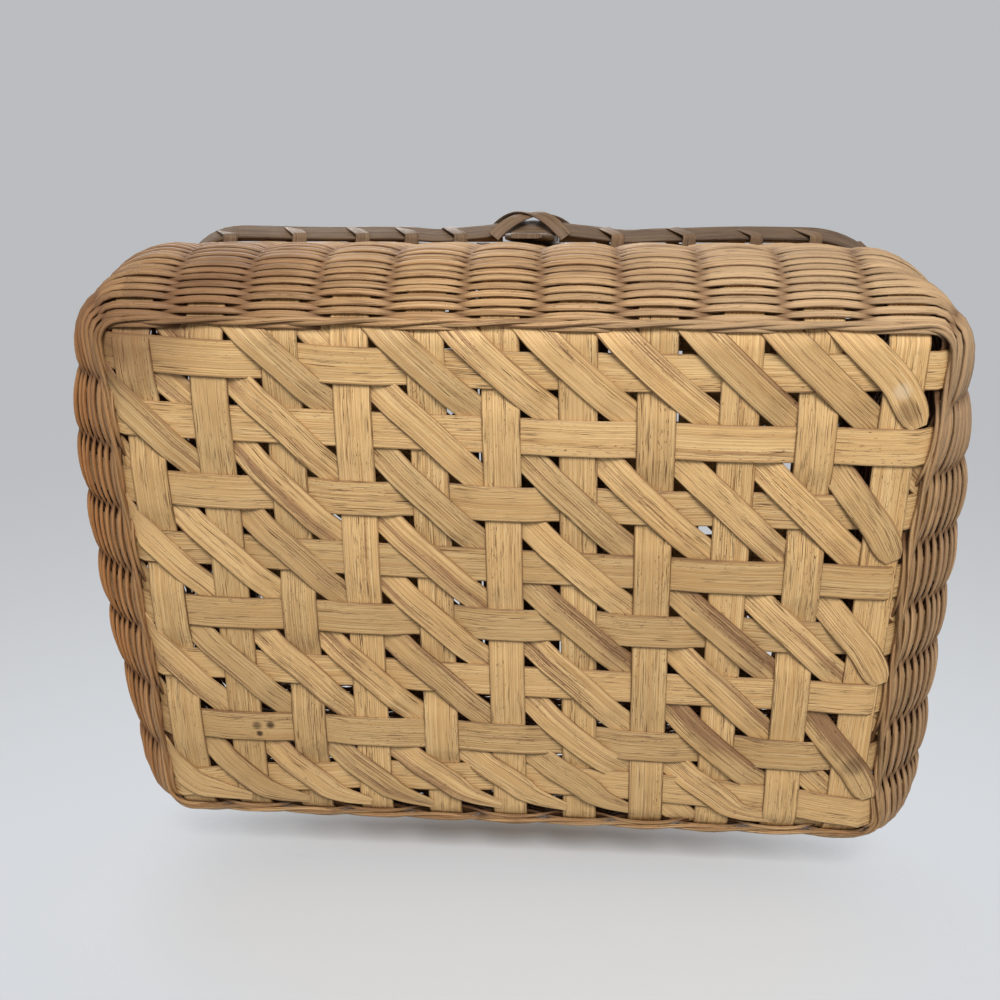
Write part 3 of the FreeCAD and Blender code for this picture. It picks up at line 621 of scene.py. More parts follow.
for number, offsets in enumerate(seen_x, start=1):
    levels_here = [level(layers(number, j)[0]) for j in range(1, 9)]
    points, ups = stake_path(0, 2, offsets, [crossing(number, j)[1] for j in range(1, 9)], levels_here)
    sweep_one(f"cross_strip_{number}", points, ups, flat_cane, "basket", f"cross_stake_{number}")
for number, (left, right, bow) in enumerate(seen_y, start=1):
    levels_here = [level(layers(i, number)[1]) for i in range(1, 12)]
    places = [crossing(i, number)[0] for i in range(1, 12)]
    points, ups = stake_path(3, 1, (left, right), places, levels_here, bow)
    sweep_one(f"long_strip_{number}", points, ups, flat_cane, "basket", f"long_stake_{number}")

# %% [markdown]
# The ends of the slant strips give the base much of its look, so a plain cut at the edge won't do. Some are tucked in
# behind the edge and cut along it, some bend and run on along the back edge, and at the right end some lie on top with
# a rounded tip. A route is a smooth line through the crossings. A tucked end then follows the curve of the wall, at a
# depth that depends on whether the strip comes from the outermost layer.

# %% Routes of slant strips
FLAT_SHARE, SPACING = 0.34, 3.4


def eased_route(knots, levels_here):
    """A smooth route through plan points, level near each and eased between them."""
    knots = [np.array(knot, dtype=float) for knot in knots]
    ends = [2 * knots[0] - knots[1]] + knots + [2 * knots[-1] - knots[-2]]
    points = []
    for n in range(len(knots) - 1):
        before, first, second, after = ends[n:n + 4]
        steps = max(int(np.linalg.norm(second - first) / SPACING), 2)
        for step in range(steps + (n == len(knots) - 2)):
            t = step / steps
            spot = 0.5 * (2 * first + (second - before) * t + (2 * before - 5 * first + 4 * second - after) * t * t
                          + (3 * first - before - 3 * second + after) * t ** 3)
            rise = (levels_here[n + 1] - levels_here[n]) * ease(FLAT_SHARE, 1 - FLAT_SHARE, t)
            points.append((*spot, levels_here[n] + rise))
    return points


def slant_crossings(k, column_count):
    """Numbers of the crossings that a slant strip passes."""
    return [(i, i - k) for i in range(1, column_count + 1) if 1 <= i - k <= len(long_y)]


def tucked(route, depth, from_step, to_step):
    """Lift the end of a route on to the wall's curve at this depth, and tip its strip with the curve."""
    ups = [(0.0, 0.0, -1.0)] * len(route)
    for step in range(from_step, to_step):
        x, y, height = route[step]
        past_end, past_side = abs(x) - HALF_LENGTH + (right_hollow(y) if x > 0 else 0), abs(y) - HALF_DEPTH
        run = max(past_end, past_side) - flare_x
        if run <= 0:
            continue
        curve = flare_z - math.sqrt((FLARE_RADIUS - depth) ** 2 - run ** 2)
        blend = math.hypot(curve - height, 0.8)
        route[step] = (x, y, (height + curve + blend) / 2)
        slope = run / (flare_z - curve) * (1 + (curve - height) / blend) / 2
        out = (math.copysign(slope, x), 0.0) if past_end > past_side else (0.0, math.copysign(slope, y))
        ups[step] = (*out, -1.0)
    return ups


print("the longest slant strip passes", len(slant_crossings(0, len(cross_x))), "crossings")

# %% Slant strips of the base
EDGE_END = (204.0, 146.0)
SLANT_DEPTHS = {True: 3.2, False: 5.2}
CORNER_START = (178.0, -124.0)
# How far the three rounded tips at the right edge are drawn in.
TIP_IN = {8: 9.0, 6: 6.0, 4: 3.0}
TIP_GIRTHS = [0.5, 0.82, 0.95, 1.0]
# A strip that bends along the back edge narrows towards its end.
BENT_GIRTHS = [0.35 + 0.085 * step for step in range(8)]
# How far a strip runs along the edge for each step towards it: at the long sides, and the other way at the ends.
SIDE_SLOPE, END_SLOPE = 1.05, 1.15


def base_slant(k):
    """One slant strip of the base with its ends: tucked in at the edge, bent along it, or cut round."""
    pairs = slant_crossings(k, len(cross_x))
    knots = [crossing(i, j) for i, j in pairs]
    heights = [level(layers(i, j)[2]) for i, j in pairs]
    (first_i, first_j), (last_i, last_j) = pairs[0], pairs[-1]
    first_out, last_out = slant_is_out(first_i, first_j), slant_is_out(last_i, last_j)
    if k == 10:
        knots = [CORNER_START]
    round_end = last_i == 11 and last_out
    if round_end and k != 10:
        knots[-1] = (knots[-1][0] - TIP_IN[k], knots[-1][1])
    x, y = knots[0]
    if k == 0:
        start, start_cut = (x - 4.0, y - 5.0), None
    elif first_j == 1:
        start, start_cut = (x - SIDE_SLOPE * (y + EDGE_END[1]), -EDGE_END[1]), (0, 1, 0)
    else:
        start, start_cut = (-EDGE_END[0], y - END_SLOPE * (x + EDGE_END[0])), (1, 0, 0)
    x, y = knots[-1]
    end_cut = None
    if round_end:
        tail = [(x + 8.0, y + 11.0), (x + 15.5, y + 25.5)]
    elif last_j == 8 and last_out:
        tail = [(x + 14, min(y + 10.5, 133.0)), (x + 33, min(y + 17.5, 137.0))]
    elif k == 3:
        tail = [(x + 5.0, y + 6.0)]
    elif last_j == 8:
        tail, end_cut = [(x - SIDE_SLOPE * (y - EDGE_END[1]), EDGE_END[1])], (0, 1, 0)
    else:
        edge = EDGE_END[0] - right_hollow(y + 15)
        tail, end_cut = [(edge, y - END_SLOPE * (x - edge))], (1, 0, 0)
    route = eased_route([start] + knots + tail, heights[:1] + heights + heights[-1:] * len(tail))
    half = len(route) // 2
    ups = tucked(route, SLANT_DEPTHS[first_out], 0, half)
    if end_cut:
        ups = ups[:half] + tucked(route, SLANT_DEPTHS[last_out], half, len(route))[half:]
    girths = [1.0] * len(route)
    if round_end:
        girths[-len(TIP_GIRTHS):] = TIP_GIRTHS[::-1]
    elif not end_cut and k != 3:
        girths[-len(BENT_GIRTHS):] = BENT_GIRTHS[::-1]
    return route, ups, girths, (start_cut, end_cut)


slant_cane = Stock(1.25, 16.0, 0.26, 16, cane_slant, "cane_strip")
paths = Paths()
for k in range(-7, 11):
    route, ups, girths, cuts = base_slant(k)
    paths.add(route, ups, girths=girths, cuts=cuts)
sweep("slant_strips", paths, slant_cane, "basket", "base_diagonal_strips")

# %% [markdown]
# ## The woven walls
# Each weaver is one closed ring that passes in front of one stake and behind the next, and the next row does the
# opposite. A bumpy sheet would be lighter, but light has to pass between the rows, so each row is swept on its own.
# The path is a wave about the stakes: out at the front of a stake, in behind its neighbour, crossing halfway.

# %% Row heights
def stakes_on(plan):
    """Length along a plan to each of the 38 stakes, in walking order."""
    offsets = [(0, front) for front, _ in seen_x] + [(1, right) for _, right, _ in seen_y]
    offsets += [(2, -back) for _, back in reversed(seen_x)] + [(3, -left) for left, _, _ in reversed(seen_y)]
    return np.array([plan.place(wall, offset) for wall, offset in offsets])


FIRST_ROW, LAST_ROW, ROW_PITCH, PITCH_GROWTH = 4.6, 165.0, 2.45, 0.15
row_heights = []
height = FIRST_ROW
while height < LAST_ROW:
    row_heights.append(height)
    pitch = ROW_PITCH + PITCH_GROWTH * ease(0, 40, len(row_heights))
    height += pitch * wall_point(2, height)[1]
print("rows of weave:", len(row_heights))

# %% Rings round the wall
MID_DEPTH, SWING, STEPS, RING_SPACING = 4.0, 2.6, 8, 6.5


def on_wall(plan, walked, depth, height):
    """Points of a ring at these lengths along its plan, their outward normals and the directions up the wall."""
    spots, outs = plan.at(walked)
    count = len(spots)
    _, normal_out, normal_up = wall_point(depth, height)
    normals = np.column_stack((outs * normal_out, np.full(count, normal_up)))
    climbs = np.column_stack((-outs * normal_up, np.full(count, normal_out)))
    return np.column_stack((spots, np.full(count, height))), normals, climbs


def ring_path(height, depth_of, lift_of, steps, mid=MID_DEPTH):
    """A closed ring at one height, whose depth and lift vary with stake number and share of the way on."""
    plan = Plan(mid, height)
    stops = stakes_on(plan)
    stops = np.append(stops, stops[0] + plan.total)
    walked, depths, lifts = [], [], []
    for number in range(len(stops) - 1):
        count = max(steps, int((stops[number + 1] - stops[number]) / RING_SPACING))
        for step in range(count):
            share = step / count
            walked.append(stops[number] + (stops[number + 1] - stops[number]) * share)
            depths.append(depth_of(number, share))
            lifts.append(lift_of(number, share))
    depths, lifts = np.array(depths), np.array(lifts)
    points, normals, climbs = on_wall(plan, walked, mid, height)
    points = points + normals * (mid - depths)[:, None] + climbs * lifts[:, None]
    return points, normals, depths


def between(values, number, share):
    """A value that drifts softly from one stake to the next."""
    blend = share * share * (3 - 2 * share)
    return values[number] * (1 - blend) + values[(number + 1) % len(values)] * blend


print("a ring at the belly is", round(Plan(MID_DEPTH, flare_z).total), "mm long")

# %% Weavers
# How far a row strays from its line, how flat it lies on a stake, and how much it thins where it passes between two.
DRIFT_IN, DRIFT_UP, FLATNESS, PINCH = 0.4, 0.5, 0.7, 0.28
weaver_cane = Stock(1.8, 4.1, 0.6, 8, cane_weaver, "cane_weaver")
stake_count = 2 * (len(cross_x) + len(long_y))
half_count = len(row_heights) // 2
weaves = {"wall_weavers_low": Paths(), "wall_weavers_high": Paths()}
for row, height in enumerate(row_heights):
    drift_in = [rng.uniform(-DRIFT_IN, DRIFT_IN) for _ in range(stake_count)]
    drift_up = [rng.uniform(-DRIFT_UP, DRIFT_UP) for _ in range(stake_count)]

    def depth_of(number, share, row=row, drift=drift_in):
        wave = math.cos(math.pi * share)
        wave = math.copysign(abs(wave) ** FLATNESS, wave) * (1 if (number + row) % 2 == 0 else -1)
        return MID_DEPTH - SWING * wave + between(drift, number, share)

    points, normals, depths = ring_path(height, depth_of, lambda n, s, d=drift_up: between(d, n, s), STEPS)
    # How deep a weaver lies behind the stakes; the weaver finish paints it darker there as shade.
    dips = [ease(2.2, 5.0, depth) for depth in depths]
    girth = rng.uniform(0.92, 1.06)
    girths = [girth * (1 - PINCH * ease(2.0, 0.0, abs(depth - MID_DEPTH))) for depth in depths]
    part = "wall_weavers_low" if row < half_count else "wall_weavers_high"
    weaves[part].add(points, normals, closed=True, dips=dips, girths=girths)
for name, paths in weaves.items():
    sweep(name, paths, weaver_cane, "basket", "wall_weave")

# %% [markdown]
# Where the base turns into the wall, two thin canes are twisted round each other and lock the strips in place. A ring
# with a rope pattern could stand for them, but the twist catches the light all along the edge, so both are swept. Each
# makes half a turn from stake to stake, and the second is half a turn behind the first.

# %% Twined edge
TWIST_HEIGHT, TWIST_DEPTH, TWIST, TWIST_STEPS = 2.5, 0.5, 1.05, 10
twist_cane = Stock(2.1, 2.6, 0.9, 8, cane_weaver, "cane_weaver")
paths = Paths()
for strand_number in (0, 1):
    def twisted(number, share, strand_number=strand_number):
        return math.pi * (number + share) + math.pi * strand_number

    points, normals, _ = ring_path(TWIST_HEIGHT, lambda n, s: TWIST_DEPTH - TWIST * math.cos(twisted(n, s)),
                                   lambda n, s: TWIST * math.sin(twisted(n, s)), TWIST_STEPS, TWIST_DEPTH)
    paths.add(points, normals, closed=True)
sweep("edge_twist", paths, twist_cane, "basket", "edge_twining")

# %% [markdown]
# ## The rim
# Two flat bands clamp the top of the wall. The outer one stands off on a round filler reed. The solid bands of the
# frame are too even for an old rim, so these are swept again: the outer band leans out and wanders a little, because
# each lashing pulls it in.

# %% Rim bands
BAND_SPACING, OUTER_LEAN, FOOT_PUSH, WRAP_PULL = 5.0, 18, 3.2, 1.2


def rim_ring(depth, height, wander_in, wander_up):
    """Points and normals of a ring at the rim that wanders softly."""
    plan = Plan(depth, height)
    count = int(plan.total / BAND_SPACING)
    walked = np.arange(count) * plan.total / count
    phase = walked / plan.total * 2 * math.pi
    waves = np.sin(phase * 9 + 1.0) * 0.5 + np.sin(phase * 14 + 2.2) * 0.5
    rises = np.sin(phase * 7 + 0.4) * 0.5 + np.sin(phase * 17 + 1.7) * 0.5
    points, normals, climbs = on_wall(plan, walked, depth, height)
    points = points + normals * (waves * wander_in)[:, None] + climbs * (rises * wander_up)[:, None]
    return points, normals


def leaning(normals, degrees):
    """Outward directions tipped down, so that the top of a band leans out."""
    tip = math.radians(degrees)
    outs = normals[:, :2] / np.linalg.norm(normals[:, :2], axis=1)[:, None]
    return np.column_stack((outs * math.cos(tip), np.full(len(outs), -math.sin(tip))))


rim_band = Stock(2.4, 14.4, 0.35, 16, bent_wood, "bent_wood")
points, normals = rim_ring(-5.0, 160.6, 0.7, 0.5)
# The handle's feet push the band out, and the lashings beside them pull it in.
pushed, pulled = np.exp(-(points[:, 0] / 26) ** 2), np.exp(-((np.abs(points[:, 0]) - 56) / 12) ** 2)
points += normals * (FOOT_PUSH * pushed - WRAP_PULL * pulled)[:, None]
ups = leaning(normals, OUTER_LEAN)
sweep_one("rim_band_outside", points, ups, rim_band, "basket", "rim_outer_band", closed=True)
points, normals = rim_ring(8.2, 160.3, 0.15, 0.15)
sweep_one("rim_band_inside", points, normals, rim_band, "basket", "rim_inner_band", closed=True)

# %% Rim reeds
REED_DEPTH, REED_HEIGHT, REED_GAP, REED_POINTS = -1.9, 161.5, 17, 120
reed = Stock(3.8, 3.8, 1.0, 10, cane_weaver, "cane_weaver")
for side, first, second in (("right", 0, 2), ("left", 2, 0)):
    plan = Plan(REED_DEPTH, REED_HEIGHT)
    start, stop = plan.place(first, REED_GAP), plan.place(second, -REED_GAP)
    spots, outs = plan.at(np.linspace(start, stop + (plan.total if stop < start else 0), REED_POINTS))
    points, ups = (np.column_stack((pair, np.full(REED_POINTS, z))) for pair, z in ((spots, REED_HEIGHT), (outs, 0.0)))
    sweep_one(f"rim_reed_{side}", points, ups, reed, "basket", f"rim_filler_{side}")

# %% [markdown]
# Flat cane is wound over the rim and ties both bands to the wall. A maker winds one long strip, but only its wraps
# show, so each wrap is a closed loop: four corners round the bands, rounded, with the top moved on along the rim so
# that the wrap slants.

# %% Rim lashings
def rounded_loop(corners, radius, bend_steps=3):
    """A closed loop through corner points (arrays), with each corner rounded."""
    loop = []
    for before, corner, after in zip(corners[-1:] + corners[:-1], corners, corners[1:] + corners[:1]):
        ways = [other - corner for other in (before, after)]
        legs = [way / np.linalg.norm(way) * min(radius, np.linalg.norm(way) * 0.45) for way in ways]
        for step in range(bend_steps + 1):
            share = step / bend_steps
            loop.append(corner + legs[0] * (1 - share) ** 2 + legs[1] * share ** 2)
    return loop


def loop_ups(loop, middle):
    """Outward directions of a closed loop: square to its line, away from its middle."""
    loop = np.array(loop)
    tangents = np.roll(loop, -1, axis=0) - np.roll(loop, 1, axis=0)
    tangents /= np.linalg.norm(tangents, axis=1)[:, None]
    away = loop - middle
    away -= tangents * np.einsum("ij,ij->i", away, tangents)[:, None]
    return away / np.linalg.norm(away, axis=1)[:, None]


def rim_spot(wall, offset, shift, depth, height):
    plan = Plan(depth, height)
    spot, _ = plan.at([plan.place(wall, offset) + shift])
    return np.array((*spot[0], height))


WRAP_SLANT = -5.0
rim_wrap = Stock(0.8, 9.0, 0.4, 10, cane_lashing, "cane_lashing")
front_wraps = (-186.8, -143.9, -105.2, -75.5, -46.0, 47.3, 89.1, 128.1, 162.1, 196.0)
paths = Paths()
wrap_places = [(0, x) for x in front_wraps] + [(2, x) for x in cross_x if abs(x) > 40]
wrap_places += [(wall, y) for wall in (1, 3) for y in long_y]
for wall, offset in wrap_places:
    corners = [rim_spot(wall, offset, WRAP_SLANT * share, depth, height) for depth, height, share in (
        (-4.0, 152.6, -1.0), (-9.0, 168.2, 1.0), (9.9, 168.5, 0.6), (9.9, 150.8, -0.6))]
    loop = rounded_loop(corners, 2.2)
    paths.add(loop, loop_ups(loop, sum(corners) / 4), closed=True)
sweep("rim_wraps", paths, rim_wrap, "basket", "rim_lashing")

# %% [markdown]
# ## The bow handle and its crossed lashings
# The handle is one slat, steamed and bent: its feet stand between the weave and the outer band, it turns upright at
# the rim, and it arches over the mouth. A spline through a few points would be quicker, but arcs that meet smoothly
# are what a bending jig gives, and they keep to the frame's solid. Crossed strips tie each foot to the rim.

# %% Handle
FOOT_DEPTH, FOOT_LENGTH, FOOT_TAPER, SPRING_RISE = -2.55, 56, 30, 32
bend_r, shoulder_r, shoulder_turn = 30.0, 95.0, math.radians(60)
bend_y = HALF_DEPTH + wall_point(FOOT_DEPTH, RIM_HEIGHT)[0]
bend_mid = (bend_y + bend_r * math.cos(lean), RIM_HEIGHT + bend_r * math.sin(lean))
leg_y, spring_z = bend_mid[0] - bend_r, RIM_HEIGHT + SPRING_RISE
shoulder_mid = (leg_y - shoulder_r, spring_z)
crown_more = shoulder_mid[0] / math.cos(shoulder_turn)
crown_mid = (0.0, spring_z - crown_more * math.sin(shoulder_turn))


def arc(middle, radius, angles, outwards=1):
    """Points of an arc with their outward directions, as (y, z)."""
    return [(middle[0] + radius * math.cos(angle), middle[1] + radius * math.sin(angle),
             outwards * math.cos(angle), outwards * math.sin(angle)) for angle in angles]


def handle_side():
    """One side of the handle's middle line with its outward directions, from foot to crown, as (y, z)."""
    line = []
    for height in np.linspace(RIM_HEIGHT - FOOT_LENGTH, RIM_HEIGHT, 12)[:-1]:
        line.append((HALF_DEPTH + wall_point(FOOT_DEPTH, height)[0], height, math.cos(lean), math.sin(lean)))
    line += arc(bend_mid, bend_r, np.linspace(math.pi + lean, math.pi, 6), -1)
    line.append((leg_y, (bend_mid[1] + spring_z) / 2, 1.0, 0.0))
    line += arc(shoulder_mid, shoulder_r, np.linspace(0, shoulder_turn, 18))
    return line + arc(crown_mid, shoulder_r + crown_more, np.linspace(shoulder_turn, math.pi / 2, 14)[1:])


handle_slat = Stock(4.5, 28, 0.4, 20, bent_wood, "bent_wood")
half_line = handle_side()
points = [(0, -y, z) for y, z, _, _ in half_line] + [(0, y, z) for y, z, _, _ in half_line[-2::-1]]
ups = [(0, -a, b) for _, _, a, b in half_line] + [(0, a, b) for _, _, a, b in half_line[-2::-1]]
girths = [0.62 + 0.38 * ease(RIM_HEIGHT - FOOT_LENGTH, RIM_HEIGHT - FOOT_TAPER, z) for _, _, z in points]
sweep_one("bow_handle", points, ups, handle_slat, "basket", "handle_hoop", girths=girths)

# %% Crossed lashings
CROSS_HEIGHT, CROSS_RISE, CROSS_REACH, CROSS_PROUD, CROSS_LAYER = 163, 14.0, 21.5, 8.6, 1.4
crossed_cane = Stock(1.1, 8.2, 0.4, 12, cane_lashing, "cane_lashing")
band_y = HALF_DEPTH + wall_point(-6.6, 160)[0]
for side, name in ((-1, "front"), (1, "back")):
    paths = Paths()
    for layer, slope in enumerate((1, -1)):
        proud = CROSS_PROUD + layer * CROSS_LAYER
        points, ups = [], []
        for share in np.linspace(-1, 1, 25):
            distance = band_y + proud * (1 - share * share) - 1.5 * abs(share) ** 3
            points.append((slope * share * CROSS_REACH, side * distance, CROSS_HEIGHT + share * CROSS_RISE))
            ups.append((0, side * CROSS_RISE, 2 * proud * share))
        paths.add(points, ups)
    sweep(f"crossed_lashing_{name}", paths, crossed_cane, "basket", f"handle_cross_lashing_{name}")

# %% [markdown]
# ## The centre bar and the lids
# A slat and two rods lie across the mouth, tied together with cane. Each lid is a lattice like the base, clamped
# between two flat frames, and cane loops let it turn on its rod. The lids repeat the base's way of working, because
# the same hands made both. Every piece of a lid rides on that lid's body, so it turns with the hinge.

# %% Centre bar
HINGE_X, HINGE_Z, ROD, BAR = 30.0, 173.15, 4.07, 153.5
BAR_POINTS, WRAP_GAP = 60, 0.45
bar_slat = Stock(2 * ROD, 40, 0.3, 20, bent_wood, "bent_wood")
round_rod = Stock(2 * ROD, 2 * ROD, 1.0, 16, bent_wood, "bent_wood")
narrow_wrap = Stock(0.7, 7.6, 0.4, 10, cane_lashing, "cane_lashing")


def across_mouth(name, x, stock, node):
    points = [(x, y, HINGE_Z) for y in np.linspace(-BAR, BAR, BAR_POINTS)]
    sweep_one(name, points, [(0, 0, 1)] * BAR_POINTS, stock, "basket", node)


across_mouth("middle_slat", 0, bar_slat, "centre_slat")
for side, sign in (("left", -1), ("right", 1)):
    across_mouth(f"lid_rod_{side}", sign * HINGE_X, round_rod, f"hinge_rod_{side}")
paths = Paths()
for share in (-0.965, -0.47, 0.0, 0.47, 0.965):
    loop = []
    for sign, start in ((1, -90), (-1, 90)):
        for angle in np.radians(np.linspace(start, start + 180, 9)):
            loop.append(np.array((sign * HINGE_X + (ROD + WRAP_GAP) * math.cos(angle), share * BAR,
                                  HINGE_Z + (ROD + WRAP_GAP) * math.sin(angle))))
    paths.add(loop, loop_ups(loop, np.array((0, share * BAR, HINGE_Z))), closed=True)
sweep("bar_wraps", paths, narrow_wrap, "basket", "bar_lashing")

# %% Lid frames
LID_LOW, LID_HIGH = 169.1, 177.2
LID_NEAR, LID_FAR, LID_HALF, LID_BAND = 35.5, 210.5, 152.5, 13.0
NEAR_CORNER, FAR_CORNER, FRAME = 7.0, 17.0, 2.2
lid_band = Stock(FRAME, LID_BAND, 0.35, 16, bent_wood, "bent_wood")


def frame_loop(side, height):
    """A flat frame with rounded corners, along the middle of its band."""
    near, far, half = LID_NEAR + LID_BAND / 2, LID_FAR - LID_BAND / 2, LID_HALF - LID_BAND / 2
    corners = [np.array((side * x, y, height)) for x, y in ((near, -half), (far, -half), (far, half), (near, half))]
    loop = []
    for number, radius in enumerate((NEAR_CORNER, FAR_CORNER, FAR_CORNER, NEAR_CORNER)):
        corner = corners[number]
        ways = [corners[number - 1] - corner, corners[(number + 1) % 4] - corner]
        legs = [way / np.linalg.norm(way) * radius for way in ways]
        for angle in np.linspace(0, math.pi / 2, 8):
            loop.append(corner + legs[0] * (1 - math.sin(angle)) + legs[1] * (1 - math.cos(angle)))
    return loop


def lid_frames(name, side):
    for part, height in (("bottom", LID_LOW + FRAME / 2), ("top", LID_HIGH - FRAME / 2)):
        loop = frame_loop(side, height)
        ups = [(0, 0, 1)] * len(loop)
        sweep_one(f"{name}_{part}_frame", loop, ups, lid_band, name, f"{name}_{part}_band", closed=True)


print("each lid is", LID_FAR - LID_NEAR, "by", 2 * LID_HALF, "mm")

# %% [markdown]
# The lattice of a lid is woven like the base's, but it shows from above, so its layers are counted down from the top.
# The base's strips could be copied here. A lid lies flat and had little wear, though, so its canes keep the even lines
# of the construction, and its slant canes run on past their last crossings to the frame.

# %% Lid canes
LONG_POINTS, CROSS_POINTS = 44, 77
LID_TOP_LEVEL, LID_LAYER, CANE_INSET, SLANT_INSET = 174.42, 1.26, 1, 14.5
SLANT_STEP = np.array((37.0, 35.0))
lid_cane = Stock(1.1, 17.5, 0.22, 16, cane_strip, "cane_strip")
lid_slant = Stock(1.1, 14, 0.26, 16, cane_strip, "cane_strip")


def lid_level(layer):
    return LID_TOP_LEVEL - LID_LAYER * layer


def lid_layers(i, j):
    """Layers of the cross cane, the long cane and the slant cane, counted down from the top."""
    out = 1 if j % 2 == 0 else 0
    over = (i + j) % 2 == 0
    return (out + (0 if over else 1), out + (1 if over else 0), 0 if out else 2)


def lid_lattice(name, side, columns):
    """The long and the cross canes of a lid."""
    low, high = sorted((side * (LID_NEAR + CANE_INSET), side * (LID_FAR - CANE_INSET)))
    paths = Paths()
    for j, y in enumerate(long_y, start=1):
        levels_here = [lid_level(lid_layers(i, j)[1]) for i in range(1, len(columns) + 1)]
        points = [(x, y, eased_level(x, columns, levels_here, STRIP / 2)) for x in np.linspace(low, high, LONG_POINTS)]
        paths.add(points, [(0, 0, 1)] * len(points))
    sweep(f"{name}_long_canes", paths, lid_cane, name, f"{name}_long_strips")
    paths = Paths()
    for i, x in enumerate(columns, start=1):
        levels_here = [lid_level(lid_layers(i, j)[0]) for j in range(1, len(long_y) + 1)]
        points = [(x, y, eased_level(y, long_y, levels_here, STRIP / 2))
                  for y in np.linspace(CANE_INSET - LID_HALF, LID_HALF - CANE_INSET, CROSS_POINTS)]
        paths.add(points, [(0, 0, 1)] * len(points))
    sweep(f"{name}_cross_canes", paths, lid_cane, name, f"{name}_cross_strips")


def lid_slants(name, side, columns):
    """The slant canes of a lid, each run on past its last crossings to the frame."""
    low_x, high_x = sorted((side * (LID_NEAR + SLANT_INSET), side * (LID_FAR - SLANT_INSET)))
    paths = Paths()
    for k in range(-6, 3):
        pairs = slant_crossings(k, len(columns))
        knots = [(columns[i - 1], long_y[j - 1]) for i, j in pairs]
        heights = [lid_level(lid_layers(i, j)[2]) for i, j in pairs]
        for end, sign in ((0, -1), (-1, 1)):
            step = SLANT_STEP * sign
            room = [((high_x if sign > 0 else low_x) - knots[end][0]) / step[0],
                    (sign * (LID_HALF - SLANT_INSET) - knots[end][1]) / step[1]]
            tip = tuple(np.array(knots[end]) + step * min(room))
            knots.insert(0 if end == 0 else len(knots), tip)
            heights.insert(0 if end == 0 else len(heights), lid_level(1.0))
        route = eased_route(knots, heights)
        paths.add(route, [(0, 0, 1)] * len(route))
    sweep(f"{name}_slant_canes", paths, lid_slant, name, f"{name}_diagonal_strips")


print("lid layers at the first crossings:", [lid_layers(1, j) for j in (1, 2, 3)])

# %% [markdown]
# Short wraps hold the two frames of a lid together, and wider loops tie the lid to its rod. A loop could be a plain
# ring, but it has to turn with the lid while the rod stays still. So it is bent about the hinge's own axis, with a
# little room round the rod, and it rides on the lid.

# %% Lid wraps
def box_wrap(low, high):
    """A flat wrap round a box section given by two corners; equal coordinates name the axis it runs across."""
    low, high = np.array(low, dtype=float), np.array(high, dtype=float)
    axis = int(np.argmin(high - low))
    first, second = [other for other in range(3) if other != axis]
    corners = []
    for a, b in ((0, 0), (1, 0), (1, 1), (0, 1)):
        corner = low.copy()
        corner[first] = (low, high)[a][first] + (WRAP_GAP if a else -WRAP_GAP)
        corner[second] = (low, high)[b][second] + (WRAP_GAP if b else -WRAP_GAP)
        corners.append(corner)
    loop = rounded_loop(corners, 1.6)
    return loop, loop_ups(loop, (low + high) / 2)


def lid_wraps(name, side, columns):
    """Wraps round the frame, between the canes' ends."""
    paths = Paths()
    for first, second in zip(columns, columns[1:]):
        x = (first + second) / 2
        for edge in (-1, 1):
            low_y, high_y = sorted((edge * (LID_HALF - LID_BAND), edge * LID_HALF))
            paths.add(*box_wrap((x, low_y, LID_LOW), (x, high_y, LID_HIGH)), closed=True)
    low_x, high_x = sorted((side * (LID_FAR - LID_BAND), side * LID_FAR))
    for first, second in zip(long_y, long_y[1:]):
        y = (first + second) / 2
        paths.add(*box_wrap((low_x, y, LID_LOW), (high_x, y, LID_HIGH)), closed=True)
    sweep(f"{name}_wraps", paths, narrow_wrap, name, f"{name}_lashing")


print("the wraps stand off the frames by", WRAP_GAP, "mm")

# %% Lid loops, and both lids
LOOP_BEND, LOOP_END, LOOP_START, LOOP_STEP = 4.15 + 0.65, 52.0, 34.5, 2.5
loop_cane = Stock(1.25, 13.6, 0.4, 12, cane_lashing, "cane_lashing")


def lid_loops(name, side):
    """Flat cane that runs out of the lid, round the rod and back."""
    line = [(LOOP_END - LOOP_STEP * step, LOOP_BEND, 0.0, 1.0) for step in range(8)]
    line += arc((HINGE_X, 0.0), LOOP_BEND, np.linspace(math.pi / 2, 3 * math.pi / 2, 13))
    line += [(LOOP_START + LOOP_STEP * step, -LOOP_BEND, 0.0, -1.0) for step in range(8)]
    paths = Paths()
    for share in (-0.70, -0.24, 0.24, 0.70):
        paths.add([(side * x, share * BAR, HINGE_Z + z) for x, z, _, _ in line],
                  [(side * a, 0, b) for _, _, a, b in line])
    sweep(f"{name}_loops", paths, loop_cane, name, f"{name}_hinge_loops")


for name, side in (("left_lid", -1), ("right_lid", 1)):
    columns = [x for x in cross_x if side * x > LID_NEAR + LID_BAND]
    lid_frames(name, side)
    lid_lattice(name, side, columns)
    lid_slants(name, side, columns)
    lid_wraps(name, side, columns)
    lid_loops(name, side)

# %% [markdown]
# ## The camera
# In the photograph the basket lies on its back wall with the base turned to the camera. The basket stays upright in
# the frame, so the camera goes below and in front of it. Its place and turn come from matching the corners of the
# base and the crossings of the strips.

# %% Camera
def turned(axis, degrees):
    return Matrix.Rotation(math.radians(degrees), 3, axis)


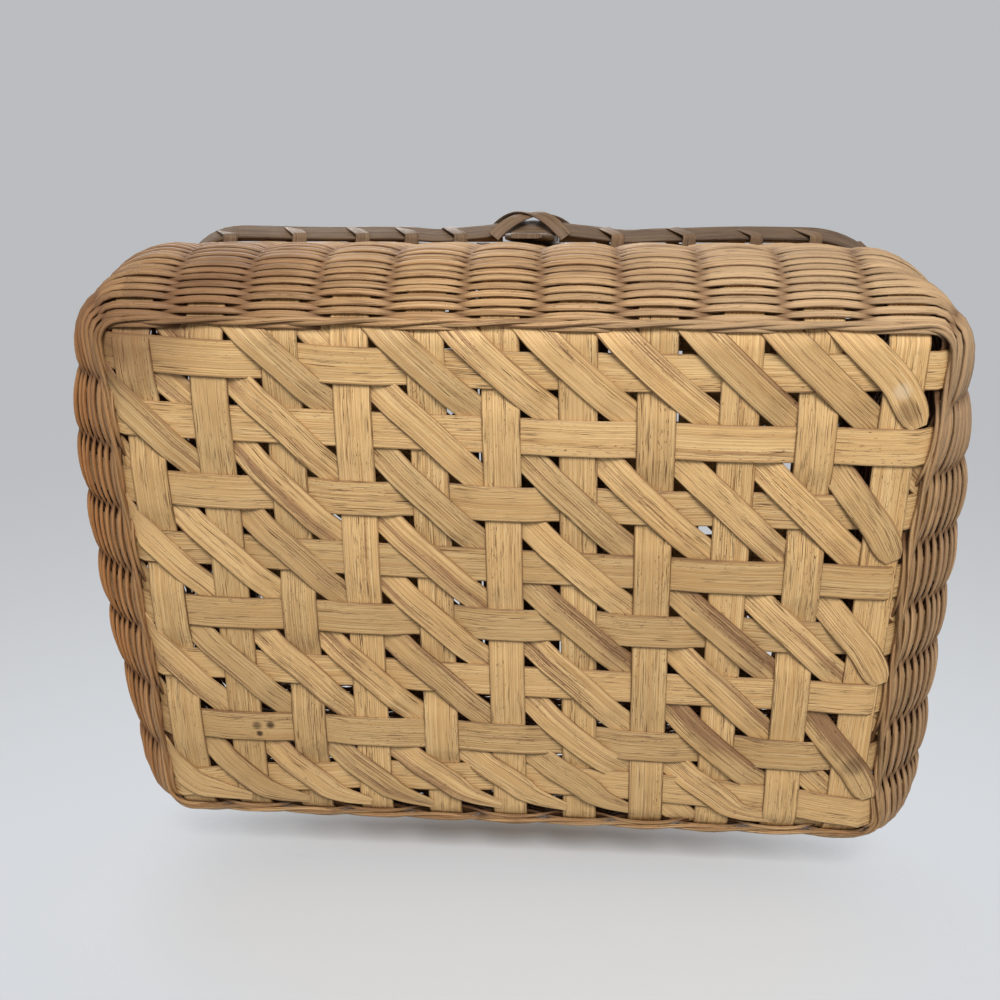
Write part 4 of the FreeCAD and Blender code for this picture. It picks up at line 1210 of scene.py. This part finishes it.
ROLL, TILT, PAN = -0.72, 23.64, 4.86
CAMERA_AT, LENS, SENSOR = (0.0360, -0.2784, -0.5050), 39.42, 36.0
right, down, forward = turned("Z", ROLL) @ turned("X", TILT) @ turned("Y", PAN)
camera = bpy.data.objects.new("camera", bpy.data.cameras.new("camera"))
camera.data.sensor_fit, camera.data.sensor_width, camera.data.lens = "HORIZONTAL", SENSOR, LENS
camera.data.clip_start = 0.01
facing = Matrix((right, -down, -forward)).transposed().to_4x4()
camera.matrix_world = Matrix.Translation(CAMERA_AT) @ facing
bpy.context.scene.collection.objects.link(camera)
bpy.context.scene.camera = camera
print("camera looks along", [round(v, 3) for v in forward])

# %% [markdown]
# ## Floor, backdrop and light
# There are two floors. One lies under the upright basket and shows only from above, so that the camera can look
# through it from below. The other is the floor that the basket lies on in the photograph, behind its back wall, and
# shows only from the front. One floor would have to be moved for each view. Both fade out into the world, a plain pale
# backdrop that only the camera and mirror rays see, so that it doesn't wash out the light on the cane. Three soft
# lamps light the basket: one from below for the base, one from above and one from behind.

# %% Floors
def one_sided(name, colour, corners, centre, spread, fade_from):
    """A pale plane that shows only on its face and fades out towards a soft oval edge."""
    mesh = bpy.data.meshes.new(name)
    mesh.from_pydata(corners, [], [tuple(range(len(corners)))])
    plane = bpy.data.objects.new(name, mesh)
    bpy.context.scene.collection.objects.link(plane)
    f = Finish(name)
    f.nodes.remove(f.shader)
    paint = f.add("ShaderNodeBsdfDiffuse", {"Color": colour})
    clear = f.add("ShaderNodeBsdfTransparent", {})
    back = f.add("ShaderNodeNewGeometry", {}, "Backfacing")
    shown = f.math("MULTIPLY", f.seen(), f.math("SUBTRACT", 1.0, back))
    oval = f.add("ShaderNodeMapping", {"Vector": f.place(), "Location": centre, "Scale": spread}, vector_type="TEXTURE")
    away = f.add("ShaderNodeVectorMath", {0: oval}, "Value", operation="LENGTH")
    shown = f.math("MULTIPLY", shown, f.range(away, fade_from, 1.0, 1.0, 0.0))
    mix = f.add("ShaderNodeMixShader", {0: shown, 1: clear, 2: paint})
    f.set(f.nodes["Material Output"], "Surface", mix)
    mesh.materials.append(f.material)


floor_pale, wall_pale, lying_pale = srgb(214, 217, 221), srgb(187, 189, 192), srgb(205, 208, 212)
FLOOR, LYING_Y = 4, 0.1795
one_sided("floor_upright", floor_pale, [(-FLOOR, -FLOOR, 0), (FLOOR, -FLOOR, 0), (FLOOR, FLOOR, 0), (-FLOOR, FLOOR, 0)],
          (0, 0, 0), (3.6, 3.6, 1), 0.2)
one_sided("floor_lying", lying_pale, [(-1, LYING_Y, -1), (1, LYING_Y, -1), (1, LYING_Y, 0.6), (-1, LYING_Y, 0.6)],
          (0, LYING_Y, -0.04), (0.31, 1, 0.13), 0.45)
print("the basket lies on its back against y =", LYING_Y)

# %% Backdrop
light_grey = (0.35, 0.36, 0.37, 1)
world = bpy.data.worlds.new("backdrop")
world.use_nodes = True
bpy.context.scene.world = world
sky = Shading(world.node_tree)
_, to_back, _ = sky.split(sky.add("ShaderNodeTexCoord", {}, "Generated"))
backdrop = sky.mix(sky.range(to_back, 0.3, 0.62), wall_pale, floor_pale)
sky.set(sky.nodes["Background"], "Color", sky.mix(sky.seen(), light_grey, backdrop))
sky.set(sky.nodes["Background"], "Strength", 1.0)
print("backdrop set")


# %% Lamps
def soft_lamp(name, place, aim, power, size, tint=(1, 1, 1)):
    lamp = bpy.data.lights.new(name, "AREA")
    lamp.energy, lamp.size, lamp.color = power, size, tint
    holder = bpy.data.objects.new(name, lamp)
    holder.matrix_world = Matrix.Translation(place) @ (
        Vector(aim) - Vector(place)).to_track_quat("-Z", "Y").to_matrix().to_4x4()
    bpy.context.scene.collection.objects.link(holder)


soft_lamp("lamp_below_front", (0.25, -1.55, -1.1), (0, 0, 0.05), 38, 0.8, (1.0, 0.98, 0.95))
soft_lamp("lamp_above", (-0.5, -0.5, 2.0), (0, 0, 0.1), 28, 1.2)
soft_lamp("lamp_behind", (0.3, 2.0, 0.9), (0, 0, 0.1), 16, 1.2)
print("lamps set")

# %% Finish
view = bpy.context.scene.view_settings
view.view_transform = "Standard"
